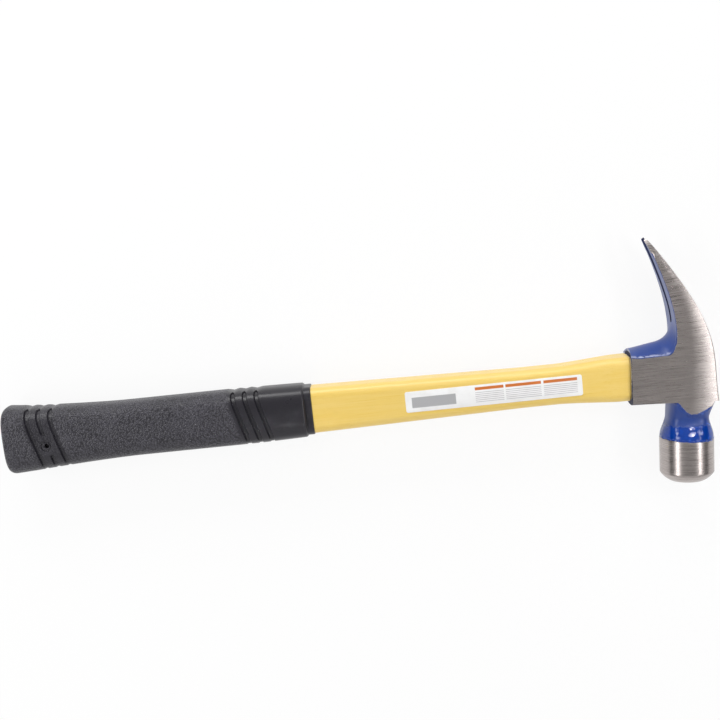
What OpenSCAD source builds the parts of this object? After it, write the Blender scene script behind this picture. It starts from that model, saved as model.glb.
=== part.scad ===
// Framing hammer with a straight claw, a fibreglass handle and a moulded grip, lying on its side.
// X runs along the handle towards the head, Y from the poll to the claw, Z up through the cheeks.
// The origin is the middle of the part's box, on the ground.

/* [Overall] */
// Length from the butt to the back of the head
overall_length = 408.5; // [370:0.5:450]

/* [Head] */
// Width across the two ground cheeks
cheek_width = 26; // [25:0.25:30]
// Distance from the poll axis to the socket mouth
mouth_reach = 32.1; // [30:0.1:42]
// Distance from the poll axis to the heel of the back
back_reach = 16.6; // [15.5:0.1:18]
// Height of the socket at its mouth, crown to crown
socket_height = 32; // [31:0.5:36]
// Height of the ground flat at the mouth
cheek_height = 25.2; // [23:0.2:28]
// Rise of the socket's ridge from the mouth to the claw
ridge_rise = 2.6; // [0:0.1:5]
// Drop of the heel below the socket's underside
heel_drop = 1.8; // [0:0.1:2.5]
// Bulge of the back between the cheeks
back_crown = 1.6; // [0.5:0.1:3]
// Distance from the poll axis to the start of the fillet under the claw
fillet_run = 16.4; // [15:0.1:18]
// How far the ground cheeks roll over towards the back
back_roll = 14; // [4:0.1:15]
// Slope at which that roll meets the back
back_roll_angle = 22; // [10:1:40]
// Width of the rolled edges inside the claw and around the mouth
inner_roll = 0.8; // [0.3:0.1:1.5]

/* [Claw] */
// Height of the claw tips above the handle axis
claw_reach = 80; // [72:0.5:90]
// How far the tips lie behind the poll axis
claw_sweep = 20; // [16:0.1:25]
// Height above the handle axis at which the claw leaves its root fillet
claw_root = 33; // [30:0.5:36]
// Distance from the poll axis to the inner face of the claw at its root
claw_setback = 6.4; // [5:0.1:9]
// Thickness of the blunt tips
tip_thickness = 1.1; // [0.8:0.1:2]
// Width across the two tips
tip_width = 17; // [14:0.5:22]
// Length of the side bevel that ends the ground flat at the tips
tip_bevel = 10; // [2:0.5:12]
// Lean of the back at the tips, from the vertical
tip_back_angle = 34.2; // [29:0.1:38]
// Lean of the inner face at the tips, from the vertical
tip_inner_angle = 22.7; // [16:0.1:26]
// Pull of the back's curve at the heel
back_pull = 27; // [20:0.2:40]
// Pull of the back's curve at the tips
tip_back_pull = 68.8; // [50:0.2:72]
// Lean of the back at the heel, from the vertical
back_lean = -2.3; // [-5:0.1:3]

/* [Nail slot] */
// Height of the slot's closed end above the handle axis
slot_root = 29; // [27:0.5:36]
// Width of the slot at its closed end
slot_root_width = 3.2; // [2:0.1:4]
// Width of the slot between the tips
slot_tip_width = 8.6; // [6:0.1:10]

/* [Neck and poll] */
// Diameter of the poll
poll_diameter = 30.75; // [29:0.25:35]
// Distance from the handle axis to the middle of the striking face
face_reach = 64.2; // [56:0.1:74]
// Lean of the poll towards the handle
poll_rake = 3; // [0:0.1:5]
// Distance from the handle axis to the neck's waist
waist_reach = 25.5; // [24:0.5:28]
// Width of the neck at its waist
waist_width = 23.4; // [22:0.1:25.5]
// Offset of the neck from the poll axis, away from the handle
neck_offset = 0.3; // [0:0.1:1.5]
// Distance from the handle axis to the poll's straight wall
bell_reach = 38; // [34:0.5:44]
// Step from the painted bell out to the poll's ground wall
bell_step = 0.15; // [0.1:0.05:0.4]
// Half width of the neck under the socket, on the handle side
neck_front = 10.5; // [10:0.1:12]
// Half width of the neck under the heel
neck_back = 16.2; // [14:0.1:17]
// Half depth of the neck under the cheeks, before the cheeks are ground
neck_side = 16.6; // [15:0.1:17]
// Step from the cheeks down to the neck's ground sides
neck_step = 0.1; // [0.05:0.05:0.3]
// Width of the rounded rim around the striking face
rim_width = 5.2; // [3:0.1:6]
// Length of the rim along the poll
rim_length = 4.7; // [3:0.1:6]
// Crown of the striking face
face_crown = 1.2; // [0.3:0.1:1.8]

/* [Eye and bond] */
// Height of the eye at the mouth
eye_height = 22.5; // [20:0.5:24]
// Width of the eye at the mouth
eye_width = 17; // [15:0.5:18]
// Widening of the eye at the back of the head, on each side
eye_flare = 1.2; // [0:0.1:1.8]
// Thickness of the adhesive squeezed out at the mouth
bead_thickness = 1; // [0.5:0.1:2]
// Overhang of that adhesive around the handle's end
bead_overhang = 0.4; // [0.1:0.1:1]
// Depth at which the adhesive ends inside the back of the eye
cap_recess = 2; // [1.5:0.1:5]
// Thickness of the adhesive over the end of the rod
cap_thickness = 3; // [1:0.5:6]
// Clearance between bonded pieces
bond_gap = 0.05; // [0.02:0.01:0.2]

/* [Handle] */
// Height of the rod inside the handle
rod_height = 16; // [12:0.5:18]
// Thickness of the rod inside the handle
rod_thickness = 10; // [8:0.5:12]
// Height of the handle under and in front of the grip
handle_height = 26.3; // [24:0.1:27.5]
// Height of the handle at its slimmest
handle_waist = 21.7; // [21.7:0.1:24]
// Height of the shoulder at the head
shoulder_height = 25.4; // [24.5:0.1:27.5]
// Thickness of the handle
handle_thickness = 19.6; // [17:0.1:21]
// Thickness of the shoulder at the head
shoulder_thickness = 22; // [20:0.1:23.5]
// Distance from the socket mouth back to the start of the shoulder
shoulder_length = 44; // [30:1:50]
// Distance from the socket mouth back to the start of the shoulder's swelling sides
swell_length = 20; // [14:0.5:22]
// Length of the shoulder's full height before the mouth
shoulder_land = 5; // [3:0.5:8]
// Rounding at the shoulder's end
shoulder_round = 1; // [0.3:0.1:2]
// Distance from the socket mouth back to the slimmest place
waist_distance = 62; // [52:1:90]
// Radius of the handle's long edges
handle_edge = 5; // [4:0.1:5.1]

/* [Grip] */
// Length of the grip with its lip
grip_length = 178.4; // [170:0.2:190]
// Length of the thin lip at the grip's front
lip_length = 3.8; // [1.5:0.1:5]
// Wall of the lip
lip_wall = 0.7; // [0.4:0.1:1.5]
// Height of the grip in the middle
grip_height = 32; // [31:0.1:36]
// Height of the grip at its front end
front_height = 30.6; // [29.5:0.1:34]
// Thickness of the grip in the middle
grip_thickness = 26.4; // [24:0.1:29]
// Height of the flared butt
butt_height = 39.6; // [36:0.1:46]
// Thickness of the flared butt
butt_thickness = 30.8; // [28:0.1:32]
// Length over which the butt flares
flare_length = 74; // [50:1:90]
// Rounding of the butt end
butt_round = 4.5; // [4:0.5:9]
// Rounding of the grip's front end
front_round = 1.6; // [0.5:0.1:2.5]
// Solid rubber behind the handle's end
butt_wall = 7; // [6:0.5:12]
// Clearance between the grip and the handle
grip_gap = 0.05; // [0.02:0.01:0.2]

/* [Grooves] */
// Grooves in each group
groove_count = 3; // [1:2:3]
// Distance from the butt to the middle of the rear group
rear_group = 25.4; // [24:0.1:34]
// Distance from the butt to the middle of the front group
front_group = 143.8; // [110:0.1:146]
// Spacing of the grooves
groove_pitch = 6.7; // [5:0.1:7.2]
// Width of a groove
groove_width = 2.9; // [1.6:0.1:3.2]
// Width of a groove's sloping walls
groove_wall = 0.5; // [0.3:0.1:0.7]
// Depth of a groove
groove_depth = 0.9; // [0.4:0.1:1.2]
// Lean of the grooves on the sides, bottom edge towards the head
groove_lean = 15.5; // [0:0.5:18]
// Height above and below the handle axis over which the grooves lean
lean_height = 12; // [8:0.5:13]
// Length of the land that breaks the middle groove of the rear group
land_length = 13; // [9:0.5:15]
// Distance from the butt to the pin hole in the land
pin_place = 25.8; // [24:0.1:34]
// Height of the pin hole below the handle axis
pin_drop = 3.1; // [0:0.1:4]
// Diameter of the pin hole
pin_diameter = 2.6; // [2:0.1:3.2]
// Depth of the pin hole
pin_depth = 3.2; // [1:0.1:4]
// Diameter of the ring mark around the pin hole
pin_ring = 5.8; // [5:0.1:6]
// Width of the ring mark
pin_ring_width = 0.5; // [0.3:0.1:0.8]
// Depth of the ring mark
pin_ring_depth = 0.4; // [0.2:0.1:0.8]

/* [Label] */
// Length of the label
label_length = 98.5; // [60:0.5:110]
// Height of the label
label_height = 11.4; // [6:0.1:11.5]
// Distance from the socket mouth to the label
label_distance = 28; // [22:0.5:50]
// Thickness of the label
label_thickness = 0.2; // [0.1:0.05:0.4]
// Radius of the label's corners
label_corner = 1.2; // [0.5:0.1:3]

/* [Hidden] */
// Points around an oval section
oval_points = 44;
// Points on each rounded edge of the handle
edge_points = 6;
// Steps across the head from cheek to cheek, and across each rolled edge
crown_steps = 8;
roll_steps = 4;
// Stations along the socket's ridge, the claw's root fillet, the claw, the neck and the eye
ridge_steps = 4;
fillet_steps = 8;
claw_steps = 12;
neck_steps = 18;
eye_steps = 5;
// Stations along the shoulder's rise, its swelling sides and the grip's middle
shoulder_steps = 8;
swell_steps = 6;
middle_steps = 8;
// Steps on the striking face and its rim, the butt's rounding and the grip's front rounding
face_steps = 6;
rim_steps = 4;
butt_steps = 5;
front_steps = 3;
// Shares of the back's curve that lie behind the ridge and the fillet
back_ridge = 0.28;
back_fillet = 0.5;
// Largest share of the claw's thickness that a rolled edge takes
roll_share = 0.4;
// Slope at which the inner rolled edges meet the inner faces
inner_roll_angle = 60;
// Fullness of the rim, from 0 for a plain chamfer to 1 for a round that touches its corner
rim_full = 0.3;
// Squareness of the neck, the eye, the rod and the grip
neck_square = 3;
eye_square = 3;
rod_square = 3.2;
grip_square = 3;
// Exponents of the claw's taper in width and of the butt's flare
claw_taper = 1.4;
butt_flare = 1.5;
// Rounds drawn true
round_fn = 96;
// Overshoot of a cut past the face that it opens
cut_past = 1;
// How far the neck reaches into the socket and into the poll
neck_bury = 2;
// Pulls and leans of the claw's inner curve and of its root fillet, in the middle and at the cheeks
tip_inner_pull = 14;
root_pull = 11.4;
root_lean = 4.4;
ridge_pull = [6, 1];
fillet_pull = 9.5;
fillet_lean = 7.6;
ridge_side_pull = [6.5, 0.3];
fillet_side_pull = 13.3;
fillet_side_lean = 6;
// How much farther the cheek's top edge runs before its fillet
fillet_side_lag = 3;
half_cheek = cheek_width / 2;
poll_radius = poll_diameter / 2;
ridge_top = socket_height / 2 + ridge_rise;
cheek_top = cheek_height / 2;
heel = socket_height / 2 + heel_drop;

function mix(a, b, t) = a + (b - a) * t;
function ease(t) = (1 - cos(180 * min(1, max(0, t)))) / 2;
function along(length, angle) = length * [sin(angle), cos(angle)];
function bezier(p, t) = pow(1 - t, 3) * p[0] + 3 * pow(1 - t, 2) * t * p[1]
    + 3 * (1 - t) * t * t * p[2] + pow(t, 3) * p[3];
function trace(p, n) = [for (i = [0 : n - 1]) bezier(p, i / n)];
function straight(a, b, n) = [for (i = [0 : n - 1]) mix(a, b, i / n)];

// The head's side view in the middle and at the cheeks. Both run from the socket's underside to the tips.
tip_inner = [-claw_sweep, claw_reach - tip_thickness / 3];
tip_outer = tip_inner + tip_thickness * [cos(tip_inner_angle), sin(tip_inner_angle)];
tip_inner_side = tip_inner - along(tip_bevel, -tip_inner_angle);
tip_outer_side = tip_outer - along(tip_bevel, -tip_back_angle);
mouth_under = [-mouth_reach, -socket_height / 2];
mouth_top = [-mouth_reach, socket_height / 2];
mouth_side_under = [-mouth_reach, -cheek_top];
mouth_side_top = [-mouth_reach, cheek_top];
ridge_end = [-fillet_run, ridge_top];
ridge_side_end = [-fillet_run + fillet_side_lag, cheek_top];
root = [-claw_setback, claw_root];
ridge_curve = [ridge_end, ridge_end + ridge_pull, root - along(fillet_pull, -fillet_lean), root];
ridge_side_curve = [ridge_side_end, ridge_side_end + ridge_side_pull,
    root - along(fillet_side_pull, -fillet_side_lean), root];
claw_curve = [root, root + along(root_pull, -root_lean),
    tip_inner - along(tip_inner_pull, -tip_inner_angle), tip_inner];
claw_side_curve = [root, root + along(root_pull, -root_lean),
    tip_inner_side - along(tip_inner_pull - tip_bevel / 2, -tip_inner_angle), tip_inner_side];
heel_point = [back_reach, -heel];
heel_side = [back_reach - back_crown / 2, -heel + back_crown / 2];
back_curve = [heel_point, heel_point + along(back_pull, back_lean),
    tip_outer - along(tip_back_pull, -tip_back_angle), tip_outer];
back_side_curve = [heel_side, heel_side + along(back_pull, back_lean) - [back_crown, 0],
    tip_outer_side - along(tip_back_pull - tip_bevel / 2, -tip_back_angle), tip_outer_side];
back_shares = concat([0], [for (i = [1 : ridge_steps]) back_ridge * i / (ridge_steps + 1)],
    [for (i = [0 : fillet_steps - 1]) mix(back_ridge, back_fillet, i / fillet_steps)],
    [for (i = [0 : claw_steps]) mix(back_fillet, 1, i / claw_steps)]);
inner_mid = concat([mouth_under], straight(mouth_top, ridge_end, ridge_steps),
    trace(ridge_curve, fillet_steps), trace(claw_curve, claw_steps), [tip_inner]);
inner_side = concat([mouth_side_under], straight(mouth_side_top, ridge_side_end, ridge_steps),
    trace(ridge_side_curve, fillet_steps), trace(claw_side_curve, claw_steps), [tip_inner_side]);
back_mid = [for (t = back_shares) bezier(back_curve, t)];
back_side = [for (t = back_shares) bezier(back_side_curve, t)];
stations = len(back_shares);

// Places along the handle, with 0 at the butt
back_extreme = max([for (p = back_mid) p[0]]);
poll_place = overall_length - back_extreme;
mouth_place = poll_place - mouth_reach;
handle_end = mouth_place - bead_thickness;
shoulder_start = mouth_place - shoulder_length;
shoulder_full = handle_end - shoulder_land;
swell_start = mouth_place - swell_length;
waist_place = mouth_place - waist_distance;
grip_front = grip_length - lip_length;
group_half = groove_count * groove_pitch / 2;
rear_edge = rear_group + group_half;
front_edge = front_group - group_half;
rod_end = poll_place + back_reach - cap_recess - cap_thickness;
// The middle plane above the ground, and the handle axis in the box
mid_z = max(poll_diameter, butt_thickness) / 2;
face_drop = (face_reach - face_crown) * cos(poll_rake) + (poll_radius - rim_width) * sin(poll_rake);
claw_top = claw_reach - tip_bevel * cos(tip_back_angle) * pow(slot_tip_width / tip_width, 2);
axis_y = (face_drop - claw_top) / 2;

// A section's closed outline: wide1 and wide2 towards +Y and -Y, deep each way in Z
function oval(wide1, wide2, deep, square) = [for (i = [0 : oval_points - 1])
    let (a = (i + 0.5) * 360 / oval_points, c = cos(a), s = sin(a))
    [(c > 0 ? wide1 : wide2) * sign(c) * pow(abs(c), 2 / square),
        deep * sign(s) * pow(abs(s), 2 / square)]];
// A rectangle with rounded corners as such an outline
function slab(high, deep, edge) = [for (q = [0 : 3]) for (i = [0 : edge_points - 1])
    let (a = 90 * (q + i / (edge_points - 1)))
    [(q == 0 || q == 3 ? 1 : -1) * (high - edge) + edge * cos(a),
        (q < 2 ? 1 : -1) * (deep - edge) + edge * sin(a)]];
// An outline placed across the handle
function across(x, outline) = [for (p = outline) [x, p[0], p[1]]];

// A solid through a list of outlines with equal counts of points
module loft(rings) {
    n = len(rings[0]);
    last = (len(rings) - 1) * n;
    sides = [for (i = [0 : len(rings) - 2]) for (j = [0 : n - 1])
        let (a = i * n + j, b = i * n + (j + 1) % n)
        each [[a, a + n, b + n], [a, b + n, b]]];
    ends = [for (k = [0 : n / 2 - 2])
        let (a = k, b = k + 1, c = n - 2 - k, d = n - 1 - k)
        each [[a, b, c], [a, c, d], [last + c, last + b, last + a], [last + d, last + c, last + a]]];
    polyhedron([for (r = rings) each r], concat(sides, ends));
}

function claw_share(i) = max(0, (i - ridge_steps - fillet_steps - 1) / claw_steps);
function half_width(i) = mix(half_cheek, tip_width / 2, pow(claw_share(i), claw_taper));
// One face of the head from cheek to cheek, a crown between two edges that roll through an arc of the
// given slope; turn is 1 from -Z to +Z
function face_points(mid, side, far, half, run, slope, turn) =
    let (gap = norm(far - side), inward = (far - side) / gap, reach = min(run, gap * roll_share),
        radius = reach / sin(slope), rolled = half - radius * (1 - cos(slope)))
    concat([for (k = [0 : roll_steps - 1])
            let (a = slope * k / roll_steps, p = side + inward * (reach - radius * sin(a)))
            [p[0], p[1], -turn * (half - radius * (1 - cos(a)))]],
        [for (k = [0 : crown_steps])
            let (s = 2 * k / crown_steps - 1, p = mix(mid, side, s * s))
            [p[0], p[1], turn * rolled * s]],
        [for (k = [1 : roll_steps])
            let (a = slope * (1 - k / roll_steps), p = side + inward * (reach - radius * sin(a)))
            [p[0], p[1], turn * (half - radius * (1 - cos(a)))]]);
function head_ring(i) = concat(
    face_points(inner_mid[i], inner_side[i], back_side[i], half_width(i), inner_roll, inner_roll_angle, 1),
    face_points(back_mid[i], back_side[i], inner_side[i], half_width(i), back_roll, back_roll_angle, -1));

// Half widths of the neck at a distance t from the handle axis
neck_start = socket_height / 2 - neck_bury;
function neck_above(t) = max(0, (waist_reach - t) / (waist_reach - neck_start));
function neck_bell(t) = ease((t - waist_reach) / (bell_reach - waist_reach));
function neck_half(t, top) = t < waist_reach ? mix(waist_width / 2, top, neck_above(t))
    : mix(waist_width / 2, poll_radius - bell_step, neck_bell(t));
neck_ground = half_cheek - neck_step;
// The neck's sides follow the cheeks' rolled back edges
roll_radius = back_roll / sin(back_roll_angle);
function roll_run(x) = min(back_roll, max(0, x - heel_side[0] + back_roll));
function ground_half(x) = neck_ground - roll_radius + sqrt(pow(roll_radius, 2) - pow(roll_run(x), 2));
function ground(x, z, t) = t < waist_reach ? min(ground_half(x), max(-ground_half(x), z)) : z;
function neck_outline(t) = oval(neck_half(t, neck_back), neck_half(t, neck_front),
    neck_half(t, neck_side), mix(neck_square, 2, neck_bell(t)));
function neck_ring(t) =
    [for (p = neck_outline(t)) let (x = p[0] + neck_offset * (1 - neck_bell(t))) [x, -t, ground(x, p[1], t)]];

module poll() {
    face_edge = [poll_radius - rim_width, face_reach - face_crown];
    wall_end = [poll_radius, face_edge[1] - rim_length];
    corner = mix((wall_end + face_edge) / 2, [poll_radius, face_edge[1]], rim_full);
    rotate([90, 0, 0])
        rotate_extrude($fn = round_fn)
            polygon(concat([[0, bell_reach], [poll_radius, bell_reach]],
                [for (i = [0 : rim_steps - 1]) let (t = i / rim_steps)
                    mix(mix(wall_end, corner, t), mix(corner, face_edge, t), t)],
                [for (i = [0 : face_steps]) let (t = 1 - i / face_steps)
                    [face_edge[0] * t, face_reach - face_crown * t * t]]));
}

// The eye's outline, grown by gap, from one place to another as seen from the poll axis
function eye_ring(x, gap) =
    let (flare = eye_flare * ease((x + mouth_reach / 2) / (mouth_reach / 2 + back_reach)))
    across(x, oval(eye_height / 2 + flare + gap, eye_height / 2 + flare + gap, eye_width / 2 + flare + gap,
        eye_square));
module eye(from, to, gap) {
    loft([eye_ring(from, gap),
        for (i = [0 : eye_steps])
            eye_ring(mix(-mouth_reach / 2, back_reach - cap_recess, i / eye_steps), gap),
        eye_ring(to, gap)]);
}

module slot() {
    rotate([90, 0, 90])
        translate([0, 0, -claw_sweep - tip_bevel])
            linear_extrude(claw_sweep + tip_bevel + back_reach) {
                polygon([[slot_root, slot_root_width / 2], [claw_reach + cut_past, slot_tip_width / 2],
                    [claw_reach + cut_past, -slot_tip_width / 2], [slot_root, -slot_root_width / 2]]);
                translate([slot_root, 0])
                    circle(d = slot_root_width, $fn = round_fn);
            }
}

module hammer_head() {
    color([0.16, 0.3, 0.62])
        translate([poll_place - overall_length / 2, axis_y, mid_z])
            difference() {
                union() {
                    loft([for (i = [0 : stations - 1]) head_ring(i)]);
                    rotate([0, 0, -poll_rake]) {
                        loft([for (i = [0 : neck_steps])
                                neck_ring(mix(neck_start, bell_reach, i / neck_steps)),
                            neck_ring(bell_reach + neck_bury)]);
                        poll();
                    }
                }
                eye(-mouth_reach - cut_past, back_extreme + cut_past, 0);
                slot();
            }
}

// The rod's outline, grown by gap, between two places along the handle
module rod(from, to, gap) {
    outline = oval(rod_height / 2 + gap, rod_height / 2 + gap, rod_thickness / 2 + gap, rod_square);
    loft([across(from, outline), across(to, outline)]);
}

module fibreglass_core() {
    color([0.85, 0.8, 0.62])
        translate([-overall_length / 2, axis_y, mid_z])
            rod(butt_wall, rod_end, 0);
}

// Half height and half thickness of the handle at a place x
function rise(x, start) = ease((x - start) / (shoulder_full - start));
function handle_high(x) = x < grip_length ? handle_height / 2
    : x < waist_place
        ? mix(handle_height, handle_waist, (x - grip_length) / (waist_place - grip_length)) / 2
        : mix(handle_waist, shoulder_height, rise(x, shoulder_start)) / 2;
function handle_deep(x) = mix(handle_thickness, shoulder_thickness, rise(x, swell_start)) / 2;
// The handle's outline at x, grown by gap
function handle_ring(x, gap) =
    across(x, slab(handle_high(x) + gap, handle_deep(x) + gap, handle_edge + gap));

module handle_jacket() {
    color([0.93, 0.78, 0.25])
        translate([-overall_length / 2, axis_y, mid_z])
            difference() {
                loft([handle_ring(butt_wall, 0), handle_ring(grip_length, 0), handle_ring(waist_place, 0),
                    for (i = [0 : shoulder_steps - 1])
                        handle_ring(mix(shoulder_start, swell_start, i / shoulder_steps), 0),
                    for (i = [0 : swell_steps])
                        handle_ring(mix(swell_start, shoulder_full, i / swell_steps), 0),
                    handle_ring(handle_end - shoulder_round, 0),
                    across(handle_end, slab(handle_high(handle_end) - shoulder_round,
                        handle_deep(handle_end) - shoulder_round, handle_edge))]);
                rod(butt_wall - cut_past, handle_end + cut_past, bond_gap);
            }
}

module epoxy_bond() {
    color([0.9, 0.84, 0.6])
        translate([-overall_length / 2, axis_y, mid_z])
            difference() {
                union() {
                    translate([poll_place, 0, 0])
                        eye(-mouth_reach - bead_thickness / 2, back_reach - cap_recess, -bond_gap);
                    loft([for (x = [handle_end + bond_gap, mouth_place - bond_gap])
                        across(x, slab(shoulder_height / 2 - shoulder_round + bead_overhang,
                            shoulder_thickness / 2 - shoulder_round + bead_overhang, handle_edge))]);
                }
                rod(handle_end - cut_past, rod_end + bond_gap, bond_gap);
            }
}

// Half height and half thickness of the grip at a place x
function flare(x) = pow(max(0, 1 - x / flare_length), butt_flare);
function grip_high(x) = x > front_group
    ? mix(grip_height, front_height, (x - front_group) / (grip_front - front_group)) / 2
    : mix(grip_height, butt_height, flare(x)) / 2;
function grip_deep(x) = mix(grip_thickness, butt_thickness, flare(x)) / 2;
// Lean of a section at x: none at the ends, full through both groups of grooves
function grip_lean(x) = groove_lean * ease(x / (rear_group - group_half))
    * ease((grip_front - x) / (grip_front - front_group - group_half));
function leaning(y, lean) = tan(lean) * min(lean_height, max(-lean_height, y));
function on_land(p) = p[1] > 0 && abs(p[0] + pin_drop) < land_length / 2;
// The grip's outline at x, cut back all round except on the land, where there is one
function grip_ring(x, cut, land = false) =
    let (outer = oval(grip_high(x), grip_high(x), grip_deep(x), grip_square),
        inner = oval(grip_high(x) - cut, grip_high(x) - cut, grip_deep(x) - cut, grip_square))
    [for (i = [0 : oval_points - 1]) let (p = land && on_land(outer[i]) ? outer[i] : inner[i])
        [x - leaning(p[0], grip_lean(x)), p[0], p[1]]];
function groove_rings(x, land) = let (half = groove_width / 2, floor_half = groove_width / 2 - groove_wall)
    [grip_ring(x - half, 0), grip_ring(x - floor_half, groove_depth, land),
        grip_ring(x + floor_half, groove_depth, land), grip_ring(x + half, 0)];
function group_rings(middle, land) = [for (i = [0 : groove_count - 1])
    let (step = i - (groove_count - 1) / 2)
    each groove_rings(middle + step * groove_pitch, land && step == 0)];

module grip_sleeve() {
    lip = slab(handle_height / 2 + lip_wall, handle_thickness / 2 + lip_wall, handle_edge + lip_wall);
    color([0.12, 0.12, 0.13])
        translate([-overall_length / 2, axis_y, mid_z])
            difference() {
                union() {
                    loft([for (i = [0 : butt_steps]) let (a = 90 * i / butt_steps)
                            grip_ring(butt_round * (1 - cos(a)), butt_round * (1 - sin(a))),
                        each group_rings(rear_group, true),
                        for (i = [0 : middle_steps])
                            grip_ring(mix(rear_edge, front_edge, i / middle_steps), 0),
                        each group_rings(front_group, false),
                        grip_ring(front_group + group_half, 0),
                        for (i = [0 : front_steps]) let (a = 90 * i / front_steps)
                            grip_ring(grip_front - front_round * (1 - sin(a)),
                                front_round * (1 - cos(a)))]);
                    loft([across(grip_front - front_round, lip), across(grip_length, lip)]);
                }
                loft([handle_ring(butt_wall - grip_gap, grip_gap),
                    handle_ring(grip_length + cut_past, grip_gap)]);
                translate([pin_place, -pin_drop, grip_deep(pin_place)]) {
                    translate([0, 0, -pin_depth])
                        cylinder(h = pin_depth + cut_past, d = pin_diameter, $fn = round_fn);
                    translate([0, 0, -pin_ring_depth])
                        difference() {
                            cylinder(h = pin_ring_depth + cut_past, d = pin_ring, $fn = round_fn);
                            cylinder(h = pin_ring_depth + cut_past, d = pin_ring - 2 * pin_ring_width,
                                $fn = round_fn);
                        }
                }
            }
}

module handle_label() {
    long = label_length / 2 - label_corner;
    high = label_height / 2 - label_corner;
    color([0.95, 0.95, 0.93])
        translate([mouth_place - label_distance - label_length / 2 - overall_length / 2, axis_y,
            mid_z + handle_thickness / 2])
            linear_extrude(label_thickness) {
                square([2 * long, label_height], center = true);
                square([label_length, 2 * high], center = true);
                for (x = [-long, long], y = [-high, high])
                    translate([x, y])
                        circle(r = label_corner, $fn = round_fn);
            }
}

hammer_head();
fibreglass_core();
handle_jacket();
epoxy_bond();
grip_sleeve();
handle_label();
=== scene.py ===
"""Framing hammer dressed for a studio picture: a forged head, a fibreglass handle and a moulded grip.

Sizes are in millimetres and in the frame of the solids: X along the handle towards the head, Y from the poll
to the claw, Z up through the cheeks. Shapes are worked out as arrays, and MM turns them into metres.
"""

import logging
from dataclasses import dataclass
from enum import Enum
from functools import reduce

import bmesh
import bpy
import numpy as np
from mathutils import Matrix, Vector


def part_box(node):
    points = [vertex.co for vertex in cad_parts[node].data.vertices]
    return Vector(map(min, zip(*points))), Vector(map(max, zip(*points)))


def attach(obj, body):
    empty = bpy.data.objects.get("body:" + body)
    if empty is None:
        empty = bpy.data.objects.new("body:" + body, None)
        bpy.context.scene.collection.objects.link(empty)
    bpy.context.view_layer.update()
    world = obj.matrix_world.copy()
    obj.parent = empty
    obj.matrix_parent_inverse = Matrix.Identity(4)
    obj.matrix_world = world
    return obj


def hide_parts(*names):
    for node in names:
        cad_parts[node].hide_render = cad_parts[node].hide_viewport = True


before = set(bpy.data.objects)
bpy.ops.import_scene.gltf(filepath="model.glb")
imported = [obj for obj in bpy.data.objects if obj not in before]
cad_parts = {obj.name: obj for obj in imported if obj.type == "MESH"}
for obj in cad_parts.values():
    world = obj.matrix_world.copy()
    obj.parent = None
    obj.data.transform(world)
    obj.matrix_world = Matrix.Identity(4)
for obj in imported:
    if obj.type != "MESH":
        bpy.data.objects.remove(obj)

MM = 0.001
# Points closer than this are merged, in millimetres.
MERGE = 0.003
# Length over which an end that leans is eased in, in millimetres.
LEAN_RUN = 14.0
LOG = logging.getLogger("framing_hammer")
Colour = tuple[float, float, float]
Triple = tuple[float, float, float]
Pair = tuple[float, float]
Band = tuple[float, float, float, float]


class Layer(Enum):
    """The two maps that a mesh carries for its finish, both in millimetres."""

    GRAIN = "grain"
    ZONE = "zone"


class Turn(Enum):
    """Which way a face of the head runs from cheek to cheek."""

    UP = 1
    DOWN = -1


class Sheet(Enum):
    """The sheets of the head's body, by where enamel and bare steel meet on them."""

    INNER = "enamel, bare from both edges on"
    CHEEK_OUT = "bare, counted from its first column"
    CHEEK_IN = "bare, counted to its last column"
    BARE = "bare all over"
    PAINTED = "enamel all over"


def mix(a: np.ndarray | float, b: np.ndarray | float, t: np.ndarray | float) -> np.ndarray | float:
    """Goes from a to b in a straight line as t goes from 0 to 1."""
    return a + (b - a) * t


def ease(t: np.ndarray | float) -> np.ndarray:
    """Half a cosine wave from 0 to 1, held level before and after."""
    return 0.5 - 0.5 * np.cos(np.pi * np.clip(t, 0.0, 1.0))


def soft_ramp(t: np.ndarray | float, blur: float) -> np.ndarray:
    """Zero below 0 and t above it, its corner rounded: half of t plus the root of t and blur squared."""
    return 0.5 * (t + np.sqrt(np.square(t) + blur * blur))


def along(length: float, angle: float) -> np.ndarray:
    """A step of the given length, leaning from +Y towards +X by an angle in degrees."""
    return length * np.array([np.sin(np.radians(angle)), np.cos(np.radians(angle))])


def leaned(y: np.ndarray, angle: float, into: np.ndarray | float) -> np.ndarray:
    """Shift along X of an end that leans: y times the angle's tangent, eased in over the lean's run."""
    return y * np.tan(np.radians(angle)) * ease(into / LEAN_RUN)


def line(a: np.ndarray, b: np.ndarray, count: int) -> np.ndarray:
    """Evenly spaced points from a up to but without b.

    Args:
        a: The first point.
        b: The point after the last.
        count: How many points.

    Returns:
        Points by 2.
    """
    t = np.arange(count)[:, None] / count
    return mix(np.asarray(a, float), np.asarray(b, float), t)


def quadratic(a: float, b: float, c: float, t: np.ndarray) -> np.ndarray:
    """Values of a quadratic curve from a to c, pulled towards b."""
    return mix(mix(a, b, t), mix(b, c, t), t)


def bezier(poles: list[np.ndarray], t: np.ndarray) -> np.ndarray:
    """Points of a cubic curve: the four poles weighted by the terms of (1 - t + t) cubed.

    Args:
        poles: The four poles.
        t: Shares of the curve from 0 to 1.

    Returns:
        One point for each share.
    """
    s = np.asarray(t)[:, None]
    a, b, c, d = (np.asarray(p, float) for p in poles)
    return (1 - s) ** 3 * a + 3 * (1 - s) ** 2 * s * b + 3 * (1 - s) * s**2 * c + s**3 * d


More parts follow.
